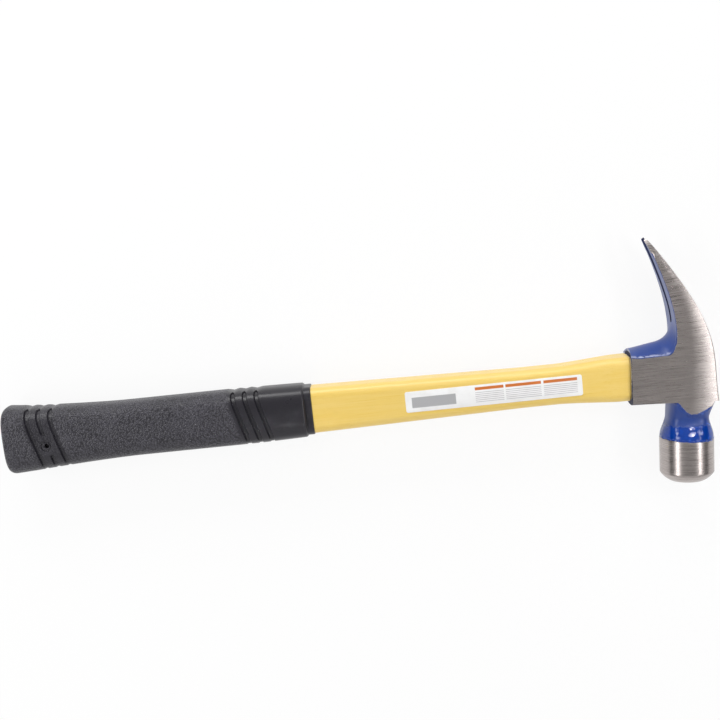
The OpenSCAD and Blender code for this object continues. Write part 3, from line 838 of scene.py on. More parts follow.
@dataclass
class Head:
    """The forged head: socket and slotted claw, with the neck and the poll below them.

    Its own coordinates start on the poll's axis at the handle's axis, in the plane between the cheeks. The
    pulls are the arms of the side view's cubic curves: a step in X and Y on the ridge, a length and a lean
    elsewhere. The tones are distances past the deeper coat's line, the inks past the enamel's own line.
    """

    datum: Datum
    # Socket, seen from the side
    half_cheek: float = 13.0
    mouth_reach: float = 32.1
    mouth_lean: float = 2.4
    mouth_lip: float = 0.6
    back_reach: float = 16.6
    socket_half: float = 16.0
    cheek_top: float = 12.6
    cheek_bottom: float = 13.7
    ridge_rise: float = 2.6
    heel_drop: float = 1.8
    back_crown: float = 1.6
    # Fillet and claw
    fillet_run: float = 16.4
    fillet_shift: float = 3.0
    fillet_blend: float = 2.2
    ridge_pull: Pair = (6.0, 1.0)
    ridge_side_pull: Pair = (6.5, 0.3)
    root_pull: Pair = (9.5, -7.6)
    root_side_pull: Pair = (13.3, -6.0)
    claw_reach: float = 80.0
    claw_sweep: float = 20.0
    claw_root: float = 33.0
    claw_setback: float = 6.4
    claw_taper: float = 1.4
    claw_angle: float = 16.0
    claw_length: float = 38.7
    claw_pull: Pair = (11.4, -4.4)
    tip_pull: float = 14.0
    tip_thickness: float = 1.1
    tip_width: float = 17.0
    tip_bevel: float = 10.0
    tip_back_angle: float = 34.2
    tip_inner_angle: float = 22.7
    # Back line, and the shares of it opposite mouth, ridge and fillet
    back_pull: float = 27.0
    tip_back_pull: float = 68.8
    back_lean: float = -2.3
    back_rise: float = 0.056
    back_ridge: float = 0.28
    back_fillet: float = 0.5
    # Rolled edges
    back_roll_angle: float = 14.2
    back_roll_power: float = 0.5
    back_corner: float = 0.8
    roll_reach: tuple[float, ...] = (-20.0, -4.5, 6.5, 17.7, 28.8, 40.0, 51.0, 61.0, 80.0)
    roll_width: tuple[float, ...] = (16.0, 14.5, 13.2, 11.5, 9.2, 6.6, 4.4, 3.0, 1.5)
    mouth_roll: float = 0.3
    ridge_roll: float = 2.0
    inner_roll: float = 0.4
    inner_roll_angle: float = 60.0
    tip_roll: float = 2.6
    tip_share: float = 0.2
    roll_share: float = 0.5
    round_end: float = 75.0
    # Nail slot and eye
    slot_root: float = 30.6
    slot_root_width: float = 3.8
    slot_tip_width: float = 8.6
    eye_high: float = 11.25
    eye_wide: float = 8.5
    eye_flare: float = 1.2
    section_power: float = 3.0
    tool_past: float = 1.0
    # Enamel and grain
    mouth_bare: float = 0.1
    ridge_bare: float = 0.3
    claw_bare: float = 0.1
    thin_tone: float = -2.0
    # Tone of the painted shade: near-black enamel at the mouth, on the underside and on the cut walls.
    shade_tone: float = 60.0
    painted_ink: float = -5.0
    bare_ink: float = 20.0
    grain_bend: float = 0.10
    grain_start: float = 5.0
    grain_run: float = 60.0
    # Stations and columns
    rows: tuple[int, int, int, int] = (20, 20, 40, 84)
    mouth_rows: int = 5
    crown_columns: int = 29
    cheek_columns: int = 73

    def placed(self, points: np.ndarray) -> np.ndarray:
        """Points in the head's own coordinates, in the frame."""
        return points + np.array([self.datum.mouth + self.mouth_reach, self.datum.axis, self.datum.middle])

    def side_view(self) -> tuple[np.ndarray, ...]:
        """The head's side view, from the socket's underside round the mouth and the ridge to the claw tips.

        Straight runs and cubic curves, the same as the solid's: the inner line and the back line, each once
        in the middle and once at the cheeks, at the same stations.

        Returns:
            Inner middle, inner side, back middle and back side, stations by 2.
        """
        rise, ridge, fillet, claw = self.rows
        tia, tba = self.tip_inner_angle, self.tip_back_angle
        tip_in = np.array([-self.claw_sweep, self.claw_reach - self.tip_thickness / 3])
        tip_out = tip_in + self.tip_thickness * np.array([np.cos(np.radians(tia)), np.sin(np.radians(tia))])
        tip_in_side = tip_in - along(self.tip_bevel, -tia)
        tip_out_side = tip_out - along(self.tip_bevel, -tba)
        root = np.array([-self.claw_setback, self.claw_root])
        ridge_end = np.array([-self.fillet_run, self.socket_half + self.ridge_rise])
        ridge_side_end = np.array([self.fillet_shift - self.fillet_run, self.cheek_top])
        corner = np.array([-self.mouth_reach, self.socket_half])
        corner_side = np.array([-self.mouth_reach - self.mouth_lip, self.cheek_top])
        t_fillet, t_claw = np.arange(fillet) / fillet, np.arange(claw + 1) / claw
        leave = root + along(*self.claw_pull)
        inner_mid = np.concatenate([
            line(corner * [1.0, -1.0], corner, rise),
            line(corner, ridge_end, ridge),
            bezier([ridge_end, ridge_end + self.ridge_pull, root - along(*self.root_pull), root], t_fillet),
            bezier([root, leave, tip_in - along(self.tip_pull, -tia), tip_in], t_claw),
        ])
        side_leave = ridge_side_end + self.ridge_side_pull
        side_reach = tip_in_side - along(self.tip_pull - self.tip_bevel / 2, -tia)
        inner_side = np.concatenate([
            line([corner_side[0], -self.cheek_bottom], corner_side, rise),
            line(corner_side, ridge_side_end, ridge),
            bezier([ridge_side_end, side_leave, root - along(*self.root_side_pull), root], t_fillet),
            bezier([root, leave, side_reach, tip_in_side], t_claw),
        ])
        heel = np.array([self.back_reach, -self.socket_half - self.heel_drop])
        heel_side = heel + self.back_crown / 2 * np.array([-1.0, 1.0])
        share = np.concatenate([
            self.back_rise * np.arange(rise) / rise,
            mix(self.back_rise, self.back_ridge, np.arange(ridge) / ridge),
            mix(self.back_ridge, self.back_fillet, t_fillet),
            mix(self.back_fillet, 1.0, t_claw),
        ])
        lift = along(self.back_pull, self.back_lean)
        lift_side = lift - [self.back_crown, 0.0]
        back_arm = tip_out - along(self.tip_back_pull, -tba)
        back_side_arm = tip_out_side - along(self.tip_back_pull - self.tip_bevel / 2, -tba)
        back_mid = bezier([heel, heel + lift, back_arm, tip_out], share)
        back_side = bezier([heel_side, heel_side + lift_side, back_side_arm, tip_out_side], share)
        return inner_mid, inner_side, back_mid, back_side

    def roll(self, slope: float, power: float, corner: float) -> np.ndarray:
        """A rolled edge in shares of its run: the slope grows with a power of the distance, a round ends it.

        Args:
            slope: Slope in degrees where the round starts.
            power: The power.
            corner: Radius of the round, as a share of the run.

        Returns:
            The distance from where the edge leaves the cheek and the fall below the cheek, 2 by points.
        """
        u, bend, end = np.linspace(0.0, 1.0, 19), np.radians(slope), np.radians(self.round_end)
        turn = np.linspace(bend, end, 7)[1:]
        rest = 1 - corner * max(np.sin(end) - np.sin(bend), 0.0)
        steep = np.tan(bend * u**power)
        fall = rest * np.concatenate([[0.0], np.cumsum((steep[1:] + steep[:-1]) / 2 * u[1])])
        return np.stack([
            np.concatenate([rest * u, rest + corner * (np.sin(turn) - np.sin(bend))]),
            np.concatenate([fall, fall[-1] + corner * (np.cos(bend) - np.cos(turn))]),
        ])

    def rolled(self, x: np.ndarray, y: np.ndarray) -> np.ndarray:
        """How far the cheek has rolled below its flat, by the distance along X to the back's side line.

        Args:
            x: Places in the side view.
            y: Their heights.

        Returns:
            The fall at each place: the roll's fall at its share of the width, times the width at that height.
        """
        back = self.side_view()[3]
        out, fall = self.roll(self.back_roll_angle, self.back_roll_power, 0.0)
        width = np.interp(y, self.roll_reach, self.roll_width)
        share = 1 - (np.interp(y, back[:, 1], back[:, 0]) - x) / width
        return width * np.interp(share, out, fall)

    def face(
        self,
        mid: np.ndarray,
        side: np.ndarray,
        far: np.ndarray,
        run: np.ndarray | float,
        edge: np.ndarray,
        turn: Turn,
    ) -> np.ndarray:
        """One face from cheek to cheek: a parabola's crown between two rolled edges.

        Args:
            mid: The face's line in the middle, stations by 2.
            side: Its line at the cheeks.
            far: The opposite face's line at the cheeks.
            run: How far the cheek rolls, one length or one for each station.
            edge: The rolled edge, as shares of the run.
            turn: Whether the face runs from -Z to +Z or back.

        Returns:
            Stations by columns by 3.
        """
        out, fall = edge
        gap = np.linalg.norm(far - side, axis=1)[:, None]
        inward = (far - side) / gap
        reach = np.minimum(np.reshape(run, (-1, 1)), gap * self.roll_share)
        back = reach * (1 - out)
        x, y = (side[:, i : i + 1] + inward[:, i : i + 1] * back for i in (0, 1))
        rim = stack(x, y, self.half_cheek - reach * fall)[:, :-1]
        s = np.linspace(-1.0, 1.0, self.crown_columns)[None, :]
        x, y = (mix(mid[:, i : i + 1], side[:, i : i + 1], s * s) for i in (0, 1))
        crown = stack(x, y, turn.value * (self.half_cheek - reach * fall[-1]) * s)
        start, end = [1.0, 1.0, -turn.value], [1.0, 1.0, turn.value]
        return np.concatenate([rim * start, crown, rim[:, ::-1] * end], axis=1)

    def body(self) -> bpy.types.Object:
        """The socket and the claw, lofted through the side view's stations, with the eye and the slot cut.

        Returns:
            The piece.
        """
        inner_mid, inner_side, back_mid, back_side = self.side_view()
        rise, ridge, fillet, claw = self.rows
        start = ease(np.arange(ridge) / self.mouth_rows)
        end = ease(np.arange(fillet) / fillet * self.fillet_blend)
        tip = ease((np.arange(claw + 1) / claw - 1 + self.tip_share) / self.tip_share)

        def by_station(at_mouth: float, on_ridge: float, on_claw: float) -> np.ndarray:
            """A size at each station: level at the mouth, eased to ridge and claw, wider at the tips."""
            return np.concatenate([
                np.full(rise, at_mouth),
                mix(at_mouth, on_ridge, start),
                mix(on_ridge, on_claw, end),
                on_claw + tip * (self.tip_roll - self.inner_roll),
            ])

        run = by_station(self.mouth_roll, self.ridge_roll, self.inner_roll)
        bare = by_station(self.mouth_bare, self.ridge_bare, self.claw_bare)
        thin = self.thin_tone
        # The mouth's rows take the painted shade's tone, standing in for shade between head and handle.
        tone = np.concatenate([np.full(rise, self.shade_tone), np.full(ridge + fillet + claw + 1, thin)])
        inner_edge, back_edge = self.roll(self.inner_roll_angle, 1.0, 0.0), self.roll(0.0, 1.0, 0.5)
        inner = self.face(inner_mid, inner_side, back_side, run, inner_edge, Turn.UP)
        back = self.face(back_mid, back_side, inner_side, 2 * self.back_corner, back_edge, Turn.DOWN)
        across = np.linspace(0.0, 1.0, self.cheek_columns)[None, :, None]
        down = across.reshape(-1, 1, 1)
        piece = build("head_forging", [
            self.body_sheet(inner, Sheet.INNER, bare, tone),
            self.body_sheet(mix(inner[:, -1:], back[:, :1], across), Sheet.CHEEK_OUT, bare, thin),
            self.body_sheet(back, Sheet.BARE, bare, thin),
            self.body_sheet(mix(back[:, -1:], inner[:, :1], across), Sheet.CHEEK_IN, bare, thin),
            # The underside takes the painted shade's tone too.
            self.body_sheet(mix(inner[:1], back[:1, ::-1], down), Sheet.PAINTED, 0.0, self.shade_tone),
            self.body_sheet(mix(inner[-1:], back[-1:, ::-1], down), Sheet.BARE, 0.0, thin),
        ])
        carve(piece, [self.slot_tool(), self.eye_tool()])
        return piece

    def body_sheet(
        self, points: np.ndarray, sheet: Sheet, shift: np.ndarray | float, tone: np.ndarray | float
    ) -> Grid:
        """Maps one sheet of the body: the grain runs along X on the cheeks and across the back.

        The sheet is rolled towards the back, narrowed along the claw by a power of the distance, and leaned
        at the mouth.

        Args:
            points: Rows by columns by 3, in the head's coordinates.
            sheet: Which sheet it is.
            shift: How far the bare edge reaches onto the inner face at each row.
            tone: How far each row is past the deeper coat's line.

        Returns:
            The grid, in the frame.
        """
        step = np.linalg.norm(np.diff(points, axis=1), axis=2)
        run = np.concatenate([np.zeros((len(points), 1)), np.cumsum(step, axis=1)], axis=1)
        left = run[:, -1:] - run
        past_line = {
            Sheet.INNER: -np.minimum(run, left),
            Sheet.CHEEK_OUT: run,
            Sheet.CHEEK_IN: left,
            Sheet.BARE: np.full_like(run, self.bare_ink),
            Sheet.PAINTED: np.full_like(run, self.painted_ink),
        }[sheet]
        x, y, z = np.moveaxis(points, -1, 0)
        z = z * (1 - self.rolled(x, y) / self.half_cheek)
        out = along(1.0, -self.claw_angle)
        far = ((x + self.claw_setback) * out[0] + (y - self.claw_root) * out[1]) / self.claw_length
        z = z * mix(1.0, self.tip_width / 2 / self.half_cheek, np.clip(far, 0.0, 1.0) ** self.claw_taper)
        points = stack(x + leaned(y, self.mouth_lean, LEAN_RUN - self.mouth_reach - x), y, z)
        bend = self.grain_bend * (x - self.grain_start) * ease((y - self.grain_start) / self.grain_run)
        grain = stack(x if sheet in (Sheet.CHEEK_OUT, Sheet.CHEEK_IN) else z, y - bend)
        zone = stack(past_line + np.reshape(shift, (-1, 1)), np.reshape(tone, (-1, 1)))
        return Grid(self.placed(points), grain, zone)

    def slot_tool(self) -> bpy.types.Object:
        """The nail slot: a V with a round closed end, carried along X through the claw.

        Returns:
            The tool.
        """
        root, tip = self.slot_root_width / 2, self.slot_tip_width / 2
        angle = np.linspace(0.0, np.pi, 25)
        top = self.claw_reach + self.tool_past
        y = np.concatenate([[top], self.slot_root - root * np.sin(angle), [top]])
        z = np.concatenate([[tip], root * np.cos(angle), [-tip]])
        x = np.array([-self.claw_sweep - self.tip_bevel, self.back_reach])[:, None]
        return self.tool("slot_tool", stack(x, y[None, :], z[None, :]))

    def eye_outline(self, x: np.ndarray, grow: float, count: int = 96) -> np.ndarray:
        """The eye's superellipse at places along the handle, widening to the back by half a cosine wave.

        Args:
            x: The places.
            grow: How much wider than the eye.
            count: Points on each outline.

        Returns:
            Places by points by 3.
        """
        flare = self.eye_flare * ease((x + self.mouth_reach / 2) / (self.mouth_reach / 2 + self.back_reach))
        angle = np.arange(count)[None, :] * 2 * np.pi / count
        high, wide = (half + (flare + grow)[:, None] for half in (self.eye_high, self.eye_wide))
        y, z = oval(angle, high, high, wide, self.section_power)
        return stack(x[:, None], y, z)

    def eye_tool(self) -> bpy.types.Object:
        """The eye through the socket, from past the mouth to past the back.

        Returns:
            The tool.
        """
        x = np.linspace(-self.mouth_reach / 2, self.back_reach + self.tool_past, 16)
        x = np.concatenate([[-self.mouth_reach - self.tool_past], x])
        return self.tool("eye_tool", self.eye_outline(x, 0.0))

    def tool(self, name: str, rings: np.ndarray) -> bpy.types.Object:
        """A closed cutting tool whose walls carry the painted shade: near-black enamel standing in for shade.

        Args:
            name: Name of the tool.
            rings: Rows by columns by 3, in the head's coordinates.

        Returns:
            The tool.
        """
        rows, columns = rings.shape[:2]
        zone = np.broadcast_to([self.painted_ink, self.shade_tone], (rows, columns + 1, 2))
        return build(name, [tube(self.placed(rings), grain_turn=60.0, zone=zone)])

    def make(self) -> None:
        """Builds and dresses the head's two meshes."""
        material = ForgedFinish().make()
        for piece in (self.body(), Poll(self).mesh()):
            dress(piece, material, "hammer_head")


@dataclass
class Poll:
    """The neck below the socket, its bell and the poll, forged in one with the head.

    The tongue is the tip of the bare cheek on the neck's side. Its outline gives the reach at places in X.
    """

    head: Head
    # Neck and bell
    neck_start: float = 14.0
    neck_front: float = 10.5
    neck_back: float = 16.2
    neck_side: float = 16.6
    neck_offset: float = 0.3
    waist_reach: float = 25.5
    waist_half: float = 11.7
    waist_blur: float = 0.12
    bell_reach: float = 38.0
    bell_step: float = 0.15
    ground_step: float = 0.04
    ground_past: float = 2.0
    # Poll
    poll_radius: float = 15.375
    poll_rake: float = 3.0
    wall_gap: float = 0.12
    rim_width: float = 5.2
    rim_length: float = 4.7
    rim_full: float = 0.3
    face_reach: float = 64.2
    face_crown: float = 1.2
    # Enamel and grain
    grain_radius: float = 0.5
    tone_reach: float = 30.0
    paint_past: float = 0.55
    paint_lean: float = 0.055
    tongue_x: tuple[float, ...] = (-9.0, -6.5, -3.7, -2.4, -0.3, 3.2, 7.8, 12.0, 16.5)
    tongue_reach: tuple[float, ...] = (15.0, 16.6, 19.9, 21.7, 22.8, 22.8, 20.9, 19.0, 17.8)
    tongue_inset: float = 3.6
    tongue_slope: float = 0.7
    tongue_off: float = -9.0
    # Rows of neck, wall, rim and face, and columns
    rows: tuple[int, int, int, int] = (84, 24, 17, 15)
    columns: int = 176

    def profile(self) -> tuple[np.ndarray, np.ndarray, np.ndarray]:
        """The poll past the bell: a straight wall, a quadratic curve round the rim and a parabola's crown.

        Returns:
            The reach from the handle's axis, the radius and the distance along the surface, one value a row.
        """
        _, wall_rows, rim_rows, face_rows = self.rows
        face_end = self.face_reach - self.face_crown
        wall_end = face_end - self.rim_length
        edge = self.poll_radius - self.rim_width
        s = np.linspace(0.0, 1.0, rim_rows)[1:]
        full_t = mix((wall_end + face_end) / 2, face_end, self.rim_full)
        full_r = mix((self.poll_radius + edge) / 2, self.poll_radius, self.rim_full)
        f = np.linspace(1.0, 0.0, face_rows)[1:]
        wall = np.linspace(self.bell_reach + self.wall_gap, wall_end, wall_rows)
        rim_t, rim_r = quadratic(wall_end, full_t, face_end, s), quadratic(self.poll_radius, full_r, edge, s)
        return (
            np.concatenate([wall, rim_t, self.face_reach - self.face_crown * f * f]),
            np.concatenate([np.full(wall_rows, self.poll_radius), rim_r, edge * f]),
            np.concatenate([wall, rim_t, self.face_reach + (1 - f) * edge]),
        )

    def mesh(self) -> bpy.types.Object:
        """Superellipse sections that turn into circles, with ground sides, and the poll's turned profile.

        The half widths fall in a line to the waist, with the corner there rounded, then rise to the bell by
        half a cosine wave.

        Returns:
            The piece.
        """
        t = np.linspace(self.neck_start, self.bell_reach, self.rows[0])
        above = soft_ramp((self.waist_reach - t) / (self.waist_reach - self.neck_start), self.waist_blur)
        bell = ease((t - self.waist_reach) / (self.bell_reach - self.waist_reach))
        tail_reach, tail_radius, tail_outward = self.profile()

        def half(start: float) -> np.ndarray:
            """Half width down the neck and the poll for a given half width at the neck's start."""
            neck = self.waist_half + (start - self.waist_half) * above
            return np.concatenate([mix(neck, self.poll_radius - self.bell_step, bell), tail_radius])[:, None]

        reach = np.concatenate([t, tail_reach])[:, None]
        round_off = np.concatenate([bell, np.ones_like(tail_reach)])[:, None]
        angle = np.linspace(0.0, 2 * np.pi, self.columns + 1)[None, :]
        power = mix(self.head.section_power, 2.0, round_off)
        x, z = oval(angle, half(self.neck_back), half(self.neck_front), half(self.neck_side), power)
        ground = self.head.half_cheek - self.ground_step - self.head.rolled(x + self.neck_offset, -reach)
        ground = np.where(reach < self.waist_reach + self.ground_past, ground, np.inf)
        tongue = self.tongue_slope * (np.interp(x, self.tongue_x, self.tongue_reach) - reach)
        tongue = np.where(np.abs(z) > self.head.half_cheek - self.tongue_inset, tongue, self.tongue_off)
        past_line = np.maximum(tongue, reach - self.bell_reach - self.paint_past - self.paint_lean * x)
        x = x + self.neck_offset * (1 - round_off)
        z = np.clip(z, -ground, ground)
        rake = np.radians(-self.poll_rake)
        points = stack(x * np.cos(rake) + reach * np.sin(rake), x * np.sin(rake) - reach * np.cos(rake), z)
        radius = np.concatenate([np.full_like(t, self.waist_half), tail_radius])[:, None]
        outward = np.concatenate([t, tail_outward])[:, None]
        grain = stack(angle * np.maximum(radius, self.grain_radius), outward)
        zone = stack(past_line, reach - self.tone_reach)
        first = np.repeat(points[:1].mean(1, keepdims=True), self.columns + 1, 1)
        points = np.concatenate([first, points])[:, :-1]
        grain, zone = (np.concatenate([m[:1], m]) for m in (grain, zone))
        return build("neck_and_poll", [Grid(self.head.placed(points), grain, zone, ring=True)], angle=38.0)


@dataclass
class Handle:
    """The moulded jacket over the rod, from inside the grip to the shoulder at the head.

    The jacket's end leans with the head's mouth, and the adhesive fills the head's eye.
    """

    datum: Datum
    head: Head
    # Jacket
    full_high: float = 13.15
    waist_high: float = 10.85
    shoulder_high: float = 12.7
    deep: float = 9.8
    shoulder_deep: float = 11.0
    edge: float = 5.0
    inside: float = 7.0
    grip_length: float = 178.4
    waist_back: float = 62.0
    shoulder_back: float = 44.0
    swell_back: float = 20.0
    land: float = 5.0
    end_back: float = 0.7
    end_round: float = 1.0
    # Adhesive
    bead_gap: float = 0.05
    bead_bulge: float = 0.4
    bead_fall: float = 0.55
    fill_start: float = 0.5
    fill_gap: float = 0.05
    fill_back: float = 2.0
    hollow_size: tuple[float, ...] = (0.93, 0.8, 0.55, 0.25)
    hollow_depth: tuple[float, ...] = (0.5, 0.8, 1.1, 1.2)
    # Label
    label_longer: float = 1.8
    label_higher: float = 0.6
    label_corner: float = 1.2
    label_ease: tuple[float, ...] = (0.0, 0.0, 0.02, 0.06)

    def sizes(self, x: np.ndarray) -> tuple[np.ndarray, np.ndarray]:
        """Half height and half thickness: straight to the waist, then half cosine waves up to the shoulder.

        Args:
            x: Places along the handle from the butt.

        Returns:
            The half height and the half thickness at each.
        """
        mouth = self.datum.mouth - self.datum.butt
        full = mouth - self.end_back - self.land
        slim = np.clip((x - self.grip_length) / (mouth - self.waist_back - self.grip_length), 0.0, 1.0)
        rise = ease((x - mouth + self.shoulder_back) / (full - mouth + self.shoulder_back))
        swell = ease((x - mouth + self.swell_back) / (full - mouth + self.swell_back))
        high = mix(mix(self.full_high, self.waist_high, slim), self.shoulder_high, rise)
        return high, mix(self.deep, self.shoulder_deep, swell)

    def jacket(self) -> bpy.types.Object:
        """The jacket: rounded rectangles carried along the handle, rounded over at the head.

        Returns:
            The piece.
        """
        end = self.datum.mouth - self.datum.butt - self.end_back
        x = np.concatenate([
            np.linspace(self.inside, self.grip_length, 12)[:-1],
            np.linspace(self.grip_length, end - self.end_round, 110),
        ])
        high, deep = self.sizes(x)
        a = np.linspace(0.0, np.pi / 2, 9)[1:]
        shrink = self.end_round * (1 - np.cos(a))
        x = np.concatenate([x, end - self.end_round * (1 - np.sin(a))])
        high = np.concatenate([high, high[-1] - shrink])
        deep = np.concatenate([deep, deep[-1] - shrink])
        y, z = slab(high, deep, self.edge)
        place = x[:, None] + leaned(y, self.head.mouth_lean, x[:, None] - end + LEAN_RUN)
        return build("jacket_shell", [tube(self.datum.on_handle(place, y, z), grain_turn=90.0)])

    def bead(self) -> bpy.types.Object:
        """The adhesive: a bead that bulges between shoulder and mouth, and the fill, hollow at its end.

        Returns:
            The piece.
        """
        mouth = self.datum.mouth - self.datum.butt
        s = np.linspace(0.0, 1.0, 9)
        x = mix(mouth - self.end_back + self.bead_gap, mouth - self.bead_gap, s)
        grow = self.bead_bulge - self.bead_fall * (2 * s - 1) ** 4 - self.end_round
        y, z = slab(self.shoulder_high + grow, self.shoulder_deep + grow, self.edge)
        place = x[:, None] + leaned(y, self.head.mouth_lean, LEAN_RUN)
        squeezed = tube(self.datum.on_handle(place, y, z), grain_turn=80.0)
        fill_end = self.head.back_reach - self.fill_back
        place = np.linspace(-self.head.mouth_reach / 2, fill_end, 12)
        place = np.concatenate([[-self.head.mouth_reach - self.fill_start], place])
        rings = self.head.eye_outline(place, -self.fill_gap)
        hollow = rings[-1:] * np.reshape(self.hollow_size, (-1, 1, 1))
        hollow[..., 0] = fill_end - np.reshape(self.hollow_depth, (-1, 1))
        fill = tube(self.head.placed(np.concatenate([rings, hollow])), grain_turn=60.0)
        return build("bond_bead", [squeezed, fill])

    def label(self) -> bpy.types.Object:
        """The label: a thin rounded rectangle on the jacket's side, its top edge eased.

        Returns:
            The piece.
        """
        low, high = (np.array(corner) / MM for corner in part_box("handle_label"))
        middle = (low + high) / 2 - [self.label_longer / 2, 0.0, 0.0]
        half_x, half_y = (high - low)[:2] / 2 + np.array([self.label_longer, self.label_higher]) / 2
        inset = np.array(self.label_ease)
        z = np.concatenate([low[2:], high[2] - inset[:0:-1]])
        x, y = slab(half_x - inset, half_y - inset, self.label_corner - inset)
        points = capped(stack(x + middle[0], y + middle[1], z[:, None]))
        zone = np.concatenate([points, points[:, :1]], axis=1)[..., :2] - middle[:2]
        return build("label_strip", [Grid(points, zone, zone, ring=True)])

    def make(self) -> None:
        """Builds and dresses the jacket, the adhesive and the label, and gives the rod its finish."""
        dress(self.jacket(), JacketFinish().make(), "handle_jacket")
        dress(self.bead(), BondFinish().make(), "epoxy_bond")
        dress(self.label(), LabelFinish().make(), "handle_label")
        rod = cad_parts["fibreglass_core"]
        rod.data.materials.clear()
        rod.data.materials.append(CoreFinish().make())
        LOG.info("fibreglass_core: kept with its strands")


@dataclass
class Grip:
    """The moulded grip: flared butt, two groups of leaning grooves, a land with a pin hole, a thin lip."""

    datum: Datum
    handle: Handle
    # Body, nose and lip
    high: float = 16.0
    front_high: float = 15.3
    deep: float = 13.2
    butt_high: float = 19.8
    butt_deep: float = 15.4
    flare: float = 74.0
    butt_flare: float = 1.5
    butt_round: float = 4.5
    front_round: float = 1.6
    nose_length: float = 4.6
    nose_drop: float = 2.4
    nose_share: float = 0.96
    lip: float = 3.8
    lip_wall: float = 0.7
    lip_inside: float = 1.5
    section_power: float = 3.0
    # Grooves
    rear_group: float = 25.4
    front_group: float = 143.8
    pitch: float = 6.7
    groove: float = 2.9
    groove_wall: float = 0.6
    groove_depth: float = 1.4
    groove_fade: float = 0.27
    fade_height: float = 4.0
    groove_end: float = 0.2
    groove_scallop: float = 0.7
    groove_shut: float = 0.01
    lean: float = 15.5
    lean_height: float = 12.0
    lean_power: int = 6
    stipple_fade: float = 3.0
    # Land, pin hole and ring mark
    land: float = 13.0
    land_ease: float = 0.4
    pin_place: float = 25.8
    pin_drop: float = 3.1
    pin_radius: float = 1.3
    pin_depth: float = 3.2
    pin_dish: Pair = (0.6, 0.1)
    pin_round: float = 0.6
    pin_bevel: Pair = (0.3, 0.35)
    ring_radius: float = 2.9
    ring_width: float = 0.5
    ring_depth: float = 0.5
    ring_draft: float = 0.2
    ring_shift: Pair = (-0.5, -0.2)
    tool_past: float = 1.0
    # Stations and columns
    groove_edge: float = 0.35
    plain_step: float = 1.7
    plain_gap: float = 0.5
    columns: int = 160

    @property
    def length(self) -> float:
        """Length of the grip along the handle, with the lip."""
        return self.handle.grip_length

    def stations(self) -> np.ndarray:
        """Places along the grip: close together round the butt, in the grooves and at the front.

        Returns:
            The places from the butt, in order.
        """
        half, front = self.groove / 2, self.length - self.lip
        centres = np.add.outer([self.rear_group, self.front_group], self.pitch * np.array([-1, 0, 1])).ravel()
        wall = half - self.groove_wall * np.linspace(0.0, 1.0, 6)
        floor = np.linspace(half - self.groove_wall, 0.0, 6)[1:]
        near = np.concatenate([[half + self.groove_edge], wall, floor])
        near = np.concatenate([near, -near[:-1]])
        plain = np.arange(self.butt_round, front - self.front_round, self.plain_step)
        away = np.abs(np.subtract.outer(plain, centres)).min(1)
        plain = plain[away > half + self.plain_gap]
        butt = self.butt_round * (1 - np.cos(np.linspace(0.0, np.pi / 2, 14)[:-1]))
        nose = front - self.front_round * (1 - np.sin(np.linspace(0.0, np.pi / 2, 9)))
        return np.sort(np.concatenate([butt, plain, np.add.outer(centres, near).ravel(), nose]))

    def half_sizes(self, x: np.ndarray) -> tuple[np.ndarray, np.ndarray]:
        """Half height and half thickness: a power flare at the butt, and a straight fall at the front.

        Args:
            x: Places along the grip.

        Returns:
            The half height and the half thickness at each, before rounding and grooves.
        """
        out = np.maximum(0.0, 1 - x / self.flare) ** self.butt_flare
        fall = np.clip((x - self.front_group) / (self.length - self.lip - self.front_group), 0.0, 1.0)
        return (
            mix(mix(self.high, self.butt_high, out), self.front_high, fall),
            mix(self.deep, self.butt_deep, out),
        )

    def rounding(self, x: np.ndarray) -> np.ndarray:
        """How far the section is cut back by the round butt and the round nose: quarter circles.

        Args:
            x: Places along the grip.

        Returns:
            The cut at each.
        """
        butt = np.clip(1 - x / self.butt_round, 0.0, 1.0)
        front = self.length - self.lip
        nose = np.clip((x - front + self.front_round) / self.front_round, 0.0, 1.0)
        return self.butt_round * (1 - np.sqrt(1 - butt**2)) + self.front_round * (1 - np.sqrt(1 - nose**2))

    def grooves(self, x: np.ndarray, y: np.ndarray, z: np.ndarray, high: np.ndarray) -> np.ndarray:
        """How deep the grooves cut: a level floor between eased walls, shallower where they run out below.

        A groove's upper end is round, and a wider, shallower scallop goes on over the edge. The middle groove
        of the rear group stops at the land.

        Args:
            x: The stations.
            y: Heights on the uncut skin, stations by columns.
            z: Depths on the uncut skin.
            high: Half height at each station.

        Returns:
            The depth, stations by columns.
        """
        from_land = self.land / 2 + self.land_ease - np.abs(y + self.pin_drop)
        on_land = (z > 0) * ease(from_land / (2 * self.land_ease))
        half = self.groove / 2
        past_end = np.clip((y - high + self.groove_end + half) / half, 0.0, 1.0)
        open_half = half * np.sqrt(1 - past_end**2) - self.groove_shut
        cut = np.zeros_like(y)
        for group in (self.rear_group, self.front_group):
            for step in (-1, 0, 1):
                away = np.abs(x - group - step * self.pitch)[:, None]
                depth = self.groove_depth * ease((open_half - away) / self.groove_wall)
                scallop = self.groove_scallop * past_end * ease(1 - 2 * away / self.pitch)
                keep = 1 - on_land if group == self.rear_group and step == 0 else 1.0
                cut = cut + np.maximum(depth, scallop) * keep
        return cut * mix(self.groove_fade, 1.0, ease((high + y) / self.fade_height))

